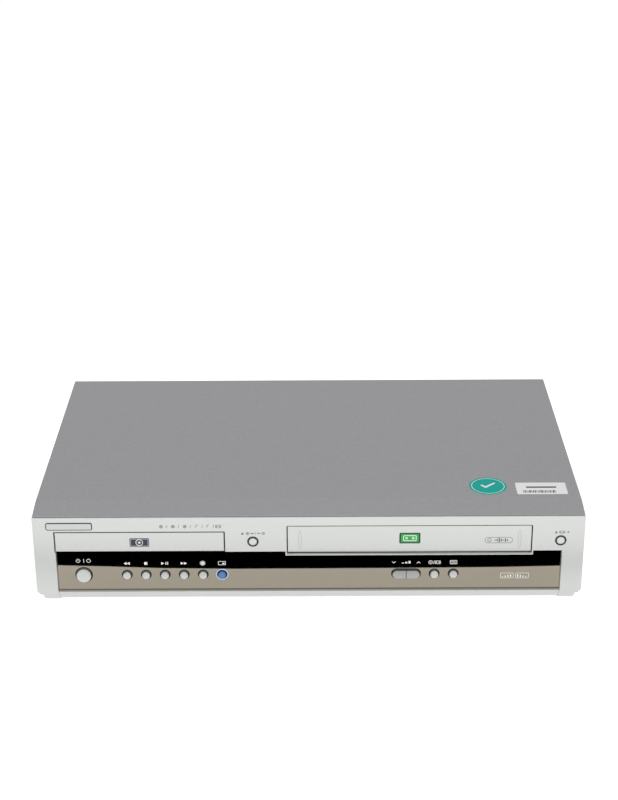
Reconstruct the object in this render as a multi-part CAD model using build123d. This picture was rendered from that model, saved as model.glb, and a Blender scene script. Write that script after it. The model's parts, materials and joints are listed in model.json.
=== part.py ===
from build123d import *
import math
import os

# A disc and tape player. X runs to the right as seen from the front, Y from the front to the back, Z up.
# The sections below measure Y from the face of the front bezel and Z from the floor. save() then moves
# every piece by SHIFT, which puts the origin under the middle of the whole player. All sizes are in mm.

# ------------------------------------------------------------------ overall
DEPTH = 258.0  # bezel face to the back of the cover
HEIGHT = 80.0  # floor to the flat top of the cover
MIDDLE = 48.1  # between the tray opening and the tape opening
FOOT_HEIGHT = 5.0
GAP = 0.3  # between pieces that stay still beside each other
RUN = 0.06  # radial clearance of a shaft in its bore

# ------------------------------------------------------------------ sheet metal case
COVER_SHEET = 0.8
CHASSIS_SHEET = 1.0
COVER_INSET = 0.5  # how far the cover's side lies inside the bezel's
SHOULDER_RUN = 22.7  # the slope along the cover's front edge
SHOULDER_DROP = 3.4
COVER_FRONT = 1.0  # bezel face to the cover's front edge
SIDE_FRONT = 6.0  # bezel face to the front edge of the cover's sides
COVER_LOW = 6.5  # floor to the cover's lower edge
COVER_FLANGE = 9.0  # turned down over the rear panel
BEND = 0.7  # outer radius of the long folds
PAN_FLANGE = 12.0
VENT_LENGTH = 22.0
VENT_WIDTH = 2.4
VENT_PITCH = 6.0
SIDE_VENTS = 14
VENT_LOW = 30.0  # floor to the side vents
VENT_END = 40.0  # back of the cover to the rearmost side vent
GRILLE_LOW = 16.0
GRILLE_HIGH = 44.0
SCREW_R = 1.5
SCREW_HEAD_R = 3.0
SCREW_HEAD = 1.8
SHANK_ROOM = 0.05
SIDE_SCREW_BACK = 30.0  # back of the cover to the rear side screws
REAR_SCREW_SIDE = 20.0  # player's side to the outer screws behind
FOOT_R = 9.0
FOOT_INSET = 34.0

# ------------------------------------------------------------------ front bezel
BEZEL_GAP = 0.5  # shadow line under the cover's front edge
BEZEL_WALL = 2.6
BEZEL_LOW = 3.8  # floor to the underside of the bezel's corner feet
PILLAR = 16.8  # width of each end pillar
PILLAR_DEPTH = 5.6
BAR_LOW = 4.4
BAR_TOP = 9.2
BAR_RECESS = 0.7
FASCIA_LOW = 45.2
RECESS = 3.0  # bezel face to the face of the window strip
STRIP = 2.0  # thickness of the window strip
CARRIER = 2.0  # the bezel's wall behind the window strip
FLANGE_DEPTH = 13.0
FLANGE = 2.0

# ------------------------------------------------------------------ disc tray
TRAY_SIDE = 16.2  # bezel's left edge to the tray opening
TRAY_OPENING = 133.6
TRAY_TOP = 63.1
DOOR_GAP = 0.6  # under the door
DOOR_LINE = 0.9  # shut line over and beside the door
DOOR = 2.8
TRAY_BODY = 128.0
TRAY_LENGTH = 168.0
TRAY_FLOOR = 49.0
TRAY_RIM = 54.4
DISC_R = 60.0
DISC_ROOM = 0.8
SMALL_DISC_R = 40.0
RECESS_DEPTH = 2.0
TRAY_SLOT = 40.0
DISC_CENTRE = 75.0  # bezel face to the spindle

# ------------------------------------------------------------------ disc loader
LOADER_FRONT = 20.0
LOADER_LENGTH = 162.0
LOADER_WALL = 2.5
LOADER_LOW = 26.0
LOADER_TOP = 60.0
TRAVERSE_HALF = 27.0
TRAVERSE_FRONT = 46.0
TRAVERSE_PIVOT = 170.0
TRAVERSE_Z = 37.0
SPINDLE_R = 1.2
TURNTABLE_R = 14.0
CLAMP_R = 14.0
CLAMP_BOTTOM = 55.7
BRIDGE_FRONT = 60.0
BRIDGE_WIDTH = 30.0
BRIDGE = 2.5
GEAR_MODULE = 1.0
GEAR_DROP = 9.5  # tray's underside to the underside of its double gear
WHEEL = 4.2
RACK_ROOM = 0.4  # between the rack and the sill it passes over
PINION_TEETH = 20
WHEEL_TEETH = 26
DRIVER_TEETH = 12
BACKLASH = 0.25
PINION_Y = 31.0
RACK_OFFSET = 51.0  # tray's middle to the rack's pitch line
SLED_START = 18.0  # spindle to the pickup's front edge
SLED_LENGTH = 24.0
RAIL_R = 1.5
RAIL_OFFSET = 18.0
SCREW_PITCH = 3.0

# ------------------------------------------------------------------ tape slot and flap
FLAP_SIDE = 40.5  # bezel's right edge to the tape opening
TAPE_WIDTH = 187.3
TAPE_HEIGHT = 25.0
TAPE_ROOM = 2.15  # beside the tape, in its opening
FLAP_LOW = 42.6
FLAP_TOP = 67.8
FLAP_GAP = 0.9
FLAP = 2.0
FLAP_INSET = 0.6
FLAP_CURL = 3.5
FLAP_PIVOT_Y = 4.4
FLAP_PIVOT_Z = 71.5
FLAP_PIN_R = 1.0
LIP = 1.0

# ------------------------------------------------------------------ tape deck
DECK_FRONT = 32.0
DECK_REAR_ROOM = 24.2  # deck plate to the rear panel
DECK_MARGIN = 2.65  # of the deck plate beside the brackets
DECK_Z = 18.0
DECK_SHEET = 1.2
POST_INSET = 7.0  # deck plate's edge to its posts
HOLDER_FRONT = 38.0
HOLDER_DEPTH = 91.0
HOLDER_SHEET = 1.0
HOLDER_ROOM = 0.5  # beside the tape
HOLDER_LEDGE = 11.0
HOLDER_IN = 24.0
HOLDER_DOWN = 18.0
PLATE_GAP = 0.6  # between holder, slider and bracket
SLIDER_SHEET = 1.2
BRACKET_SHEET = 1.2
GUIDE_PIN_R = 1.6
PIN_ROOM = 0.1
REEL_SPACING = 92.0
REEL_Y = 97.0
REEL_FLANGE_R = 18.5
REEL_HUB_R = 5.5
REEL_TOP = 33.0
REEL_PIN_R = 1.6
DRUM_R = 31.0
DRUM_ROOM = 34.0  # drum's middle to the deck plate's back edge
DRUM_TILT = 5.9
DRUM_SPLIT = 38.0
DRUM_TOP = 56.0
DRUM_SHAFT_R = 3.0
CAPSTAN_X = 54.0  # from the tape slot's middle
CAPSTAN_AHEAD = 30.0  # of the drum's middle, towards the front
CAPSTAN_R = 2.0
CAPSTAN_RISE = 30.0  # above the deck plate
FLYWHEEL_R = 24.0
FLYWHEEL = 7.0
FLYWHEEL_GAP = 3.0  # under the deck plate
PINCH_R = 6.5
PINCH_ARM = 24.0
PINCH_PIN = 14.0  # above the deck plate
PINCH_RISE = 7.0  # deck plate to the lever
PINCH_LENGTH = 14.0
PINCH_SWING = 24.0
PINCH_GAP = 0.35
GUIDE_TRAVEL = 42.0
GUIDE_SPREAD = 34.0  # tape slot's middle to each guide's start
GUIDE_LEAN = 7.0  # degrees that each guide's slot runs outwards
GUIDE_AHEAD = 52.0  # of the drum's middle, at its start
SLOT_WIDTH = 4.4
HEAD_LENGTH = 8.0
HEAD_WIDTH = 5.5
HEAD_HEIGHT = 22.0
ERASE_SIDE = 62.0  # tape slot's middle to the erase head
SOUND_BEHIND = 14.0  # capstan to the sound head
GUIDE_RISE = 24.0  # above the deck plate

# ------------------------------------------------------------------ front keys
KEY_R = 3.15
KEY_ROOM = 0.6
UPPER_KEY_ROOM = 0.9
KEY_LIP = 1.1  # how far a key's flange reaches past its hole
KEY_FLANGE = 1.0
KEY_TRAVEL = 0.6
KEY_ROW = 23.3  # floor to the middle of the lower row
KEY_PROUD = 2.6  # of the window strip
UPPER_KEY_ROW = 54.1
UPPER_KEY_PROUD = 0.7  # of the bezel face
STANDBY_R = 5.8
ROCKER_LENGTH = 21.4
ROCKER_HEIGHT = 6.6
ROCKER_SPLIT = 0.5
STANDBY_X = 37.6  # from the bezel's left edge
KEY_START = 71.7  # rewind key, from the bezel's left edge
KEY_PITCH = 15.0
ROCKER_X = 138.3  # from the bezel's right edge
SOURCE_X = 116.1
DISC_EJECT_X = 171.6
TAPE_EJECT_X = 18.4
BOARD_Y = 14.0  # bezel face to the key board
BOARD = 1.6
BOARD_LOW = 10.4
BOARD_TOP = 41.0
TONGUE_TOP = 60.0
TONGUE = 26.0
SWITCH = 6.0
SWITCH_DEPTH = 3.4
SWITCH_HEAD_R = 1.6
SWITCH_HEAD = 0.8
DISPLAY_ROOM = 20.5  # between the display and the middle of the key on each side
DISPLAY_HEIGHT = 19.0
DISPLAY_DEPTH = 6.0

# ------------------------------------------------------------------ boards and sockets
BOARD_GAP = 11.7
MAIN_FRONT = 60.0
MAIN_Z = 11.0
POWER_WIDTH = 146.0
POWER_DEPTH = 46.0
CHIP = 22.0
CHIP_HEIGHT = 3.0
CAPACITOR_R = 3.0
CAPACITOR_HEIGHT = 5.0
CORE_HEIGHT = 26.0
STORAGE_R = 9.0
STORAGE_HEIGHT = 30.0
SINK_HEIGHT = 32.0
SINK_FINS = 5
COIL_HEIGHT = 18.0
OUTPUT_R = 4.5
OUTPUT_HEIGHT = 16.0
OUTPUTS = 4
STANDOFF_R = 3.0
STANDOFF_INSET = 6.0  # board's edge to its standoffs
SCART_WIDTH = 47.0
SCART_HEIGHT = 16.0
SCART_DEPTH = 16.0
SCART_PITCH = 56.0
SCART_SHARE = 0.177  # of the whole width, from its middle to the left one of the two
SCART_GROOVE = 1.8
SCART_SHELL = 40.0  # outside of the groove
SCART_SHELL_HEIGHT = 11.0
SCART_SLANT = 3.0
SCART_CONTACTS = 10  # in each row
SCART_CONTACT_PITCH = 3.4
JACK_R = 4.15
JACK_BORE_R = 1.7
JACK_LENGTH = 8.5
JACK_COLLAR = 0.8  # how far the housing stands out round each barrel
JACK_ROOT_R = 3.6
JACK_CHAMFER = 0.4
JACK_PITCH = 17.0
JACK_SHARE = -0.019
JACK_LOW = 22.0
JACK_ROWS = 2
JACK_COLUMNS = 3
AERIAL_R = 4.75  # outside of the plug's shell and bore of the socket
AERIAL_WALL = 0.9
AERIAL_LENGTH = 9.0
AERIAL_LOW = 28.0
AERIAL_PITCH = 24.0
TUNER_WIDTH = 22.0
TUNER_DEPTH = 62.0
TUNER_HEIGHT = 46.0
DIN_R = 4.8
DIN_SHARE = -0.144
GRILLE_SHARE = -0.372
GRILLE_SLOTS = 13
PAN_SLOTS = 12
INLET_SHARE = -0.423
INLET_Z = 26.0
INLET_WIDTH = 20.0
INLET_HEIGHT = 14.0
INLET_DEPTH = 18.0
INLET_PIN_R = 1.2
INLET_PIN_PITCH = 8.6
INLET_HOLE_R = 4.2

# ------------------------------------------------------------------ places worked out from the sizes above
TAPE_OPENING = TAPE_WIDTH + 2 * TAPE_ROOM
WIDTH = TRAY_SIDE + TRAY_OPENING + MIDDLE + TAPE_OPENING + FLAP_SIDE
LEFT = -WIDTH / 2
RIGHT = WIDTH / 2
PAN_Z = FOOT_HEIGHT
PAN_TOP = PAN_Z + CHASSIS_SHEET
COVER_HALF = WIDTH / 2 - COVER_INSET
COVER_IN = COVER_HALF - COVER_SHEET
REAR_Y = DEPTH - COVER_SHEET - CHASSIS_SHEET  # inner face of the rear panel
REAR_FACE = DEPTH - COVER_SHEET
BEZEL_TOP = HEIGHT - SHOULDER_DROP - COVER_SHEET - BEZEL_GAP
STRIP_HALF = WIDTH / 2 - PILLAR
STRIP_BACK = RECESS + STRIP
CARRIER_BACK = STRIP_BACK + CARRIER
TRAY_X = LEFT + TRAY_SIDE + TRAY_OPENING / 2
DOOR_LOW = FASCIA_LOW + DOOR_GAP
DOOR_TOP = TRAY_TOP - DOOR_LINE
TRAY_BACK = DOOR + TRAY_LENGTH
LOADER_BACK = LOADER_FRONT + LOADER_LENGTH
LOADER_IN = TRAY_BODY / 2 + 0.5
LOADER_OUT = LOADER_IN + LOADER_WALL
GEAR_LOW = TRAY_FLOOR - GEAR_DROP
FLAP_X = RIGHT - FLAP_SIDE - TAPE_OPENING / 2
FLAP_HALF = TAPE_OPENING / 2 - FLAP_GAP
NOTCH_TOP = FLAP_LOW - 0.7  # top of the strip and its carrier below the flap
HOLDER_IN_HALF = TAPE_WIDTH / 2 + HOLDER_ROOM
HOLDER_HALF = HOLDER_IN_HALF + HOLDER_SHEET
SLIDER_IN = HOLDER_HALF + PLATE_GAP
SLIDER_OUT = SLIDER_IN + SLIDER_SHEET
BRACKET_IN = SLIDER_OUT + PLATE_GAP
BRACKET_OUT = BRACKET_IN + BRACKET_SHEET
HOLDER_FLOOR = FLAP_LOW - 0.2  # the ledges' upper face
HOLDER_ROOF = HOLDER_FLOOR + TAPE_HEIGHT + 0.6  # underside of the holder's top
DECK_TOP = DECK_Z + DECK_SHEET
DECK_BACK = REAR_Y - DECK_REAR_ROOM
DECK_SIDE = BRACKET_OUT + DECK_MARGIN  # tape slot's middle to each side of the deck plate
DRUM_Y = DECK_BACK - DRUM_ROOM
CAPSTAN_Y = DRUM_Y - CAPSTAN_AHEAD
GUIDE_Y = DRUM_Y - GUIDE_AHEAD
CAPSTAN = (FLAP_X + CAPSTAN_X, CAPSTAN_Y)
PINCH_REACH = CAPSTAN_R + PINCH_R + PINCH_GAP
PINCH_PIVOT = (CAPSTAN[0] + PINCH_REACH + PINCH_ARM * math.sin(math.radians(12)),
               CAPSTAN_Y + PINCH_ARM * math.cos(math.radians(12)))
MAIN_TOP = MAIN_Z + BOARD
MAIN_BACK = REAR_Y - 1.0
MAIN_RIGHT = COVER_IN - 4.0
POWER_LEFT = -COVER_IN + 4.0
MAIN_LEFT = POWER_LEFT + POWER_WIDTH + BOARD_GAP
SCART_X = SCART_SHARE * WIDTH
JACK_X = JACK_SHARE * WIDTH
DIN_X = DIN_SHARE * WIDTH
INLET_X = INLET_SHARE * WIDTH
GRILLE_X = GRILLE_SHARE * WIDTH
TUNER_X = COVER_IN - 6.0 - TUNER_WIDTH / 2
REAR_MOST = REAR_FACE + JACK_LENGTH
SHIFT = -(REAR_MOST - UPPER_KEY_PROUD) / 2  # from the bezel face to the origin

VIEW_X = LEFT + KEY_START + 5 * KEY_PITCH
# name, place across, height, radius, bezel's upper row or not
ROUND_KEYS = [
    ("standby_key", LEFT + STANDBY_X, KEY_ROW, STANDBY_R, False),
    ("rewind_key", LEFT + KEY_START, KEY_ROW, KEY_R, False),
    ("stop_key", LEFT + KEY_START + KEY_PITCH, KEY_ROW, KEY_R, False),
    ("play_key", LEFT + KEY_START + 2 * KEY_PITCH, KEY_ROW, KEY_R, False),
    ("forward_key", LEFT + KEY_START + 3 * KEY_PITCH, KEY_ROW, KEY_R, False),
    ("record_key", LEFT + KEY_START + 4 * KEY_PITCH, KEY_ROW, KEY_R, False),
    ("view_key", VIEW_X, KEY_ROW, KEY_R, False),
    ("source_key", RIGHT - SOURCE_X, KEY_ROW, KEY_R, False),
    ("scan_key", RIGHT - SOURCE_X + KEY_PITCH, KEY_ROW, KEY_R, False),
    ("disc_eject_key", LEFT + DISC_EJECT_X, UPPER_KEY_ROW, KEY_R, True),
    ("tape_eject_key", RIGHT - TAPE_EJECT_X, UPPER_KEY_ROW, KEY_R, True),
]
ROCKER_CENTRE = RIGHT - ROCKER_X
ROCKER_KEYS = [("channel_down_key", -1), ("channel_up_key", 1)]
DISPLAY_X = (VIEW_X + ROCKER_CENTRE) / 2
DISPLAY_HALF = (ROCKER_CENTRE - VIEW_X) / 2 - DISPLAY_ROOM


# ------------------------------------------------------------------ building helpers
def block(x, y, z):
    """A box between three pairs of low and high values."""
    middle = Pos((x[0] + x[1]) / 2, (y[0] + y[1]) / 2, (z[0] + z[1]) / 2)
    return middle * Box(x[1] - x[0], y[1] - y[0], z[1] - z[0])


def upright(x, y, z, radius):
    """A cylinder standing between two heights."""
    return Pos(x, y, (z[0] + z[1]) / 2) * Cylinder(radius, z[1] - z[0])


def lengthways(x, y, z, radius):
    """A cylinder along Y, between two values of Y."""
    return Pos(x, (y[0] + y[1]) / 2, z) * Rot(90, 0, 0) * Cylinder(radius, y[1] - y[0])


def crossways(x, y, z, radius):
    """A cylinder along X, between two values of X."""
    return Pos((x[0] + x[1]) / 2, y, z) * Rot(0, 90, 0) * Cylinder(radius, x[1] - x[0])


def from_front(points, y):
    """A solid with an outline in X and Z, between two values of Y."""
    face = make_face(Polyline([(px, y[0], pz) for px, pz in points], close=True))
    return extrude(face, amount=y[1] - y[0], dir=(0, 1, 0))


def from_side(points, x):
    """A solid with an outline in Y and Z, between two values of X."""
    face = make_face(Polyline([(x[0], py, pz) for py, pz in points], close=True))
    return extrude(face, amount=x[1] - x[0], dir=(1, 0, 0))


def from_above(points, z):
    """A solid with an outline in X and Y, between two heights."""
    face = make_face(Polyline([(px, py, z[0]) for px, py in points], close=True))
    return extrude(face, amount=z[1] - z[0], dir=(0, 0, 1))


def pill(x, z, length, height, y):
    """A bar with round ends lying across the front."""
    ends = [lengthways(x + side * (length - height) / 2, y, z, height / 2) for side in (-1, 1)]
    half = (length - height) / 2
    return block((x - half, x + half), y, (z - height / 2, z + height / 2)) + ends


def group(solids):
    """Separate solids that share a node."""
    return Compound([s for item in solids for s in item.solids()])


def involute_gear(teeth, z, bore):
    """A spur gear about the origin with a gap towards +X, its teeth thinned by half the backlash."""
    pitch_r = GEAR_MODULE * teeth / 2
    base_r = pitch_r * math.cos(math.radians(20))
    root_r = pitch_r - 1.25 * GEAR_MODULE
    tip_r = pitch_r + GEAR_MODULE
    half = math.pi / (2 * teeth) - BACKLASH / (4 * pitch_r)
    roll = math.tan(math.radians(20)) - math.radians(20)
    flank = [(root_r, half + roll)]
    for step in range(4):
        r = base_r + (tip_r - base_r) * (0.04 + 0.32 * step)
        slope = math.acos(base_r / r)
        flank.append((r, half + roll - (math.tan(slope) - slope)))
    points = []
    for tooth in range(teeth):
        middle = 2 * math.pi * (tooth + 0.5) / teeth
        points += [(r * math.cos(middle - a), r * math.sin(middle - a)) for r, a in flank]
        points += [(r * math.cos(middle + a), r * math.sin(middle + a)) for r, a in reversed(flank)]
    return from_above(points, z) - upright(0, 0, z, bore)


def rack(x, y, z, depth):
    """A straight rack along Y with its pitch line at x and its teeth towards -X."""
    pitch = math.pi * GEAR_MODULE
    lean = math.tan(math.radians(20)) * GEAR_MODULE
    half = pitch / 4 - BACKLASH / 4
    count = int((y[1] - y[0]) / pitch)
    first = PINION_Y - int((PINION_Y - y[0]) / pitch) * pitch
    root = x + 1.25 * GEAR_MODULE
    points = [(x + depth, y[0]), (root, y[0])]
    for tooth in range(count):
        middle = first + tooth * pitch
        if middle - half - 1.25 * lean < y[0] or middle + half + 1.25 * lean > y[1]:
            continue
        points += [(root, middle - half - 1.25 * lean), (x - GEAR_MODULE, middle - half + lean),
                   (x - GEAR_MODULE, middle + half - lean), (root, middle + half + 1.25 * lean)]
    points += [(root, y[1]), (x + depth, y[1])]
    return from_above(points, z)


NODES = {}


def save(name, shape):
    """Moves a piece to the player's own origin and keeps it under its name."""
    NODES[name] = Pos(0, SHIFT, 0) * shape


# ------------------------------------------------------------------ the case
def cover_outline(inset):
    """Side view of the cover, drawn in by a sheet's thickness or by nothing."""
    slope = math.atan2(SHOULDER_DROP, SHOULDER_RUN)
    lower = inset / math.cos(slope)
    crease = COVER_FRONT + SHOULDER_RUN + inset * math.tan(slope / 2)
    front = COVER_FRONT if inset == 0 else COVER_FRONT - 1
    front_z = HEIGHT - SHOULDER_DROP - lower - (COVER_FRONT - front) * math.tan(slope)
    return [(front, front_z), (crease, HEIGHT - inset), (DEPTH + 1 if inset else DEPTH, HEIGHT - inset),
            (DEPTH + 1 if inset else DEPTH, COVER_LOW - inset), (front, COVER_LOW - inset)]


def top_cover():
    """The folded sheet over the top and sides, with a slope at its front edge."""
    outer = from_side(cover_outline(0), (-COVER_HALF, COVER_HALF))
    folds = outer.edges().filter_by(Axis.Y).sort_by(Axis.Z)[-2:]
    outer = fillet(folds, BEND)
    inner = from_side(cover_outline(COVER_SHEET), (-COVER_IN, COVER_IN))
    shell = outer - inner
    below_top = HEIGHT - SHOULDER_DROP - 1.5 * COVER_SHEET
    shell -= block((-COVER_HALF - 1, COVER_HALF + 1), (COVER_FRONT - 1, SIDE_FRONT), (0, below_top))
    flange = block((-COVER_IN, COVER_IN), (REAR_FACE, DEPTH), (HEIGHT - COVER_FLANGE, HEIGHT - COVER_SHEET))
    vents = []
    for side in (-1, 1):
        for k in range(SIDE_VENTS):
            y = DEPTH - VENT_END - k * VENT_PITCH
            span = sorted((side * (COVER_IN - 1), side * (COVER_HALF + 1)))
            vents.append(block(span, (y, y + VENT_WIDTH), (VENT_LOW, VENT_LOW + VENT_LENGTH)))
    holes = [crossways(sorted((s * (COVER_IN - 1), s * (COVER_HALF + 1))), y, case_screw_z(), SCREW_R + 0.2)
             for s in (-1, 1) for y in side_screw_ys()]
    holes += [lengthways(x, (REAR_FACE - 1, DEPTH + 1), rear_screw_z(), SCREW_R + 0.2)
              for x in rear_screw_xs()]
    return shell + flange - vents - holes


def case_screw_z():
    return PAN_TOP + PAN_FLANGE / 2


def side_screw_ys():
    return (DEPTH * 0.2, DEPTH - SIDE_SCREW_BACK)


def rear_screw_z():
    return HEIGHT - COVER_FLANGE / 2 - 1


def rear_screw_xs():
    return (LEFT + REAR_SCREW_SIDE, 0.0, RIGHT - REAR_SCREW_SIDE)


def standoff_places():
    """Where the boards stand on the pan: across, along, and the board's underside."""
    boards = [((MAIN_LEFT, MAIN_RIGHT), (MAIN_FRONT, MAIN_BACK)),
              ((POWER_LEFT, POWER_LEFT + POWER_WIDTH), (MAIN_BACK - POWER_DEPTH, MAIN_BACK))]
    return [(x, y, MAIN_Z) for across, along in boards
            for x in (across[0] + STANDOFF_INSET, across[1] - STANDOFF_INSET)
            for y in (along[0] + STANDOFF_INSET, along[1] - STANDOFF_INSET)]


def deck_post_places():
    return [(FLAP_X + side * (DECK_SIDE - POST_INSET), y) for side in (-1, 1)
            for y in (DECK_FRONT + POST_INSET, DECK_BACK - POST_INSET)]


def foot_places():
    return [(side * (WIDTH / 2 - FOOT_INSET), y) for side in (-1, 1) for y in (FOOT_INSET, DEPTH - FOOT_INSET)]


PAN_HALF = COVER_IN - 0.1
PAN_FRONT = FLANGE_DEPTH + 0.2


def bottom_pan():
    """The chassis tray with turned-up sides, board standoffs and deck posts."""
    floor = block((-PAN_HALF, PAN_HALF), (PAN_FRONT, REAR_Y), (PAN_Z, PAN_TOP))
    sides = [block(sorted((s * PAN_HALF, s * (PAN_HALF - CHASSIS_SHEET))), (PAN_FRONT, REAR_Y),
                   (PAN_Z, PAN_TOP + PAN_FLANGE)) for s in (-1, 1)]
    standoffs = [upright(x, y, (PAN_TOP - 0.5, z), STANDOFF_R) for x, y, z in standoff_places()]
    posts = [upright(x, y, (PAN_TOP - 0.5, DECK_Z), STANDOFF_R + 1) for x, y in deck_post_places()]
    vents = []
    for k in range(PAN_SLOTS):
        x = LEFT + 45 + k * VENT_PITCH
        for y in (DEPTH * 0.39, DEPTH * 0.54):
            vents.append(block((x, x + VENT_WIDTH), (y, y + VENT_LENGTH), (PAN_Z - 1, PAN_TOP + 1)))
    holes = [crossways(sorted((s * (PAN_HALF - 2), s * (PAN_HALF + 1))), y, case_screw_z(), SCREW_R)
             for s in (-1, 1) for y in side_screw_ys()]
    holes += [upright(x, y, (PAN_Z - 1, PAN_TOP + 0.2), SCREW_R) for x, y in foot_places()]
    return floor + sides + standoffs + posts - vents - holes


def rubber_feet():
    """Four turned rubber feet, each plugged into the pan."""
    feet = []
    for x, y in foot_places():
        foot = upright(x, y, (0, PAN_Z), FOOT_R)
        foot = chamfer(foot.edges().filter_by(GeomType.CIRCLE).sort_by(Axis.Z)[0], 1.2)
        feet.append(foot + upright(x, y, (PAN_Z - 0.5, PAN_TOP + 1.5), SCREW_R - SHANK_ROOM))
    return group(feet)


def jack_places():
    return [(JACK_X + (column - 1) * JACK_PITCH, JACK_LOW + row * JACK_PITCH)
            for row in range(JACK_ROWS) for column in range(JACK_COLUMNS)]


def scart_xs():
    return (SCART_X, SCART_X + SCART_PITCH)


def scart_z():
    return (MAIN_TOP, MAIN_TOP + SCART_HEIGHT)


def aerial_zs():
    return (AERIAL_LOW, AERIAL_LOW + AERIAL_PITCH)


def rear_panel():
    """The sheet behind, pierced for every socket, with a grille on the power side."""
    panel = block((-PAN_HALF, PAN_HALF), (REAR_Y, REAR_FACE), (PAN_Z, HEIGHT - COVER_SHEET - 0.1))
    through = (REAR_Y - 1, REAR_FACE + 1)
    cuts = [lengthways(x, through, z, JACK_R + 1.0) for x, z in jack_places()]
    low, high = scart_z()
    cuts += [block((x - SCART_WIDTH / 2 - 0.1, x + SCART_WIDTH / 2 + 0.1), through, (low - 0.1, high + 0.1))
             for x in scart_xs()]
    cuts += [lengthways(TUNER_X, through, z, AERIAL_R + AERIAL_WALL + 0.3) for z in aerial_zs()]
    cuts += [lengthways(DIN_X, through, JACK_LOW, DIN_R + 1.3)]
    optical = JACK_LOW + JACK_PITCH
    cuts += [block((DIN_X - 5.2, DIN_X + 5.2), through, (optical - 5.2, optical + 5.2))]
    cuts += [block((INLET_X - INLET_WIDTH / 2 - 0.1, INLET_X + INLET_WIDTH / 2 + 0.1), through,
                   (INLET_Z - INLET_HEIGHT / 2 - 0.1, INLET_Z + INLET_HEIGHT / 2 + 0.1))]
    for k in range(GRILLE_SLOTS):
        x = GRILLE_X + k * VENT_PITCH
        cuts += [block((x, x + VENT_WIDTH), through, (z, z + VENT_LENGTH)) for z in (GRILLE_LOW, GRILLE_HIGH)]
    cuts += [lengthways(x, through, rear_screw_z(), SCREW_R) for x in rear_screw_xs()]
    return panel - cuts


def case_screws():
    """Pan-head screws: two a side, three behind and four through the key board."""
    screws = []
    z = case_screw_z()
    shank_r = SCREW_R - SHANK_ROOM
    for side in (-1, 1):
        end = side * (COVER_HALF + SCREW_HEAD)
        for y in side_screw_ys():
            shank = crossways(sorted((side * (PAN_HALF - 3), side * COVER_HALF)), y, z, shank_r)
            head = crossways(sorted((side * COVER_HALF, end)), y, z, SCREW_HEAD_R)
            screws.append(shank + cross_recess(head, (end, y, z), "x"))
    for x in rear_screw_xs():
        shank = lengthways(x, (REAR_Y - 4, DEPTH), rear_screw_z(), shank_r)
        head = lengthways(x, (DEPTH, DEPTH + SCREW_HEAD), rear_screw_z(), SCREW_HEAD_R)
        screws.append(shank + cross_recess(head, (x, DEPTH + SCREW_HEAD, rear_screw_z()), "y"))
    for x, z in board_screw_places():
        back = BOARD_Y + BOARD
        shank = lengthways(x, (BOARD_Y - 4, back), z, shank_r)
        head = lengthways(x, (back, back + SCREW_HEAD), z, SCREW_HEAD_R)
        screws.append(shank + cross_recess(head, (x, back + SCREW_HEAD, z), "y"))
    return group(screws)


def cross_recess(head, centre, way):
    """A screw head with its cross-shaped driver recess."""
    x, y, z = centre
    long, thin = 1.7, 0.4
    for a, b in ((long, thin), (thin, long)):
        if way == "x":
            head -= block((x - 0.9, x + 0.9), (y - a, y + a), (z - b, z + b))
        else:
            head -= block((x - a, x + a), (y - 0.9, y + 0.9), (z - b, z + b))
    return head


# ------------------------------------------------------------------ the front
def board_screw_places():
    return [(x, BOARD_LOW + 4) for x in (LEFT + 26, LEFT + 148, RIGHT - 148, RIGHT - 40)]


def pillar_outline(side):
    """One end pillar with the corner foot under it."""
    edge = side * WIDTH / 2
    inner = side * STRIP_HALF
    return [(edge, BEZEL_TOP), (edge, BEZEL_LOW + 6.6), (edge - side * 0.8, BEZEL_LOW + 5.2),
            (edge - side * 2.2, BEZEL_LOW + 4.6), (edge - side * 4.4, BEZEL_LOW + 4.2),
            (edge - side * 5.8, BEZEL_LOW + 0.5), (edge - side * 6.4, BEZEL_LOW),
            (inner + side * -1.8, BEZEL_LOW), (inner, BAR_TOP), (inner, BEZEL_TOP)]


def key_holes(upper_row, extra=0.0):
    """The middle and radius of each key's hole, for the bezel's upper row or for the window strip's row."""
    room = UPPER_KEY_ROOM if upper_row else KEY_ROOM
    return [(x, z, r + room + extra) for _, x, z, r, upper in ROUND_KEYS if upper == upper_row]


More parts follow.
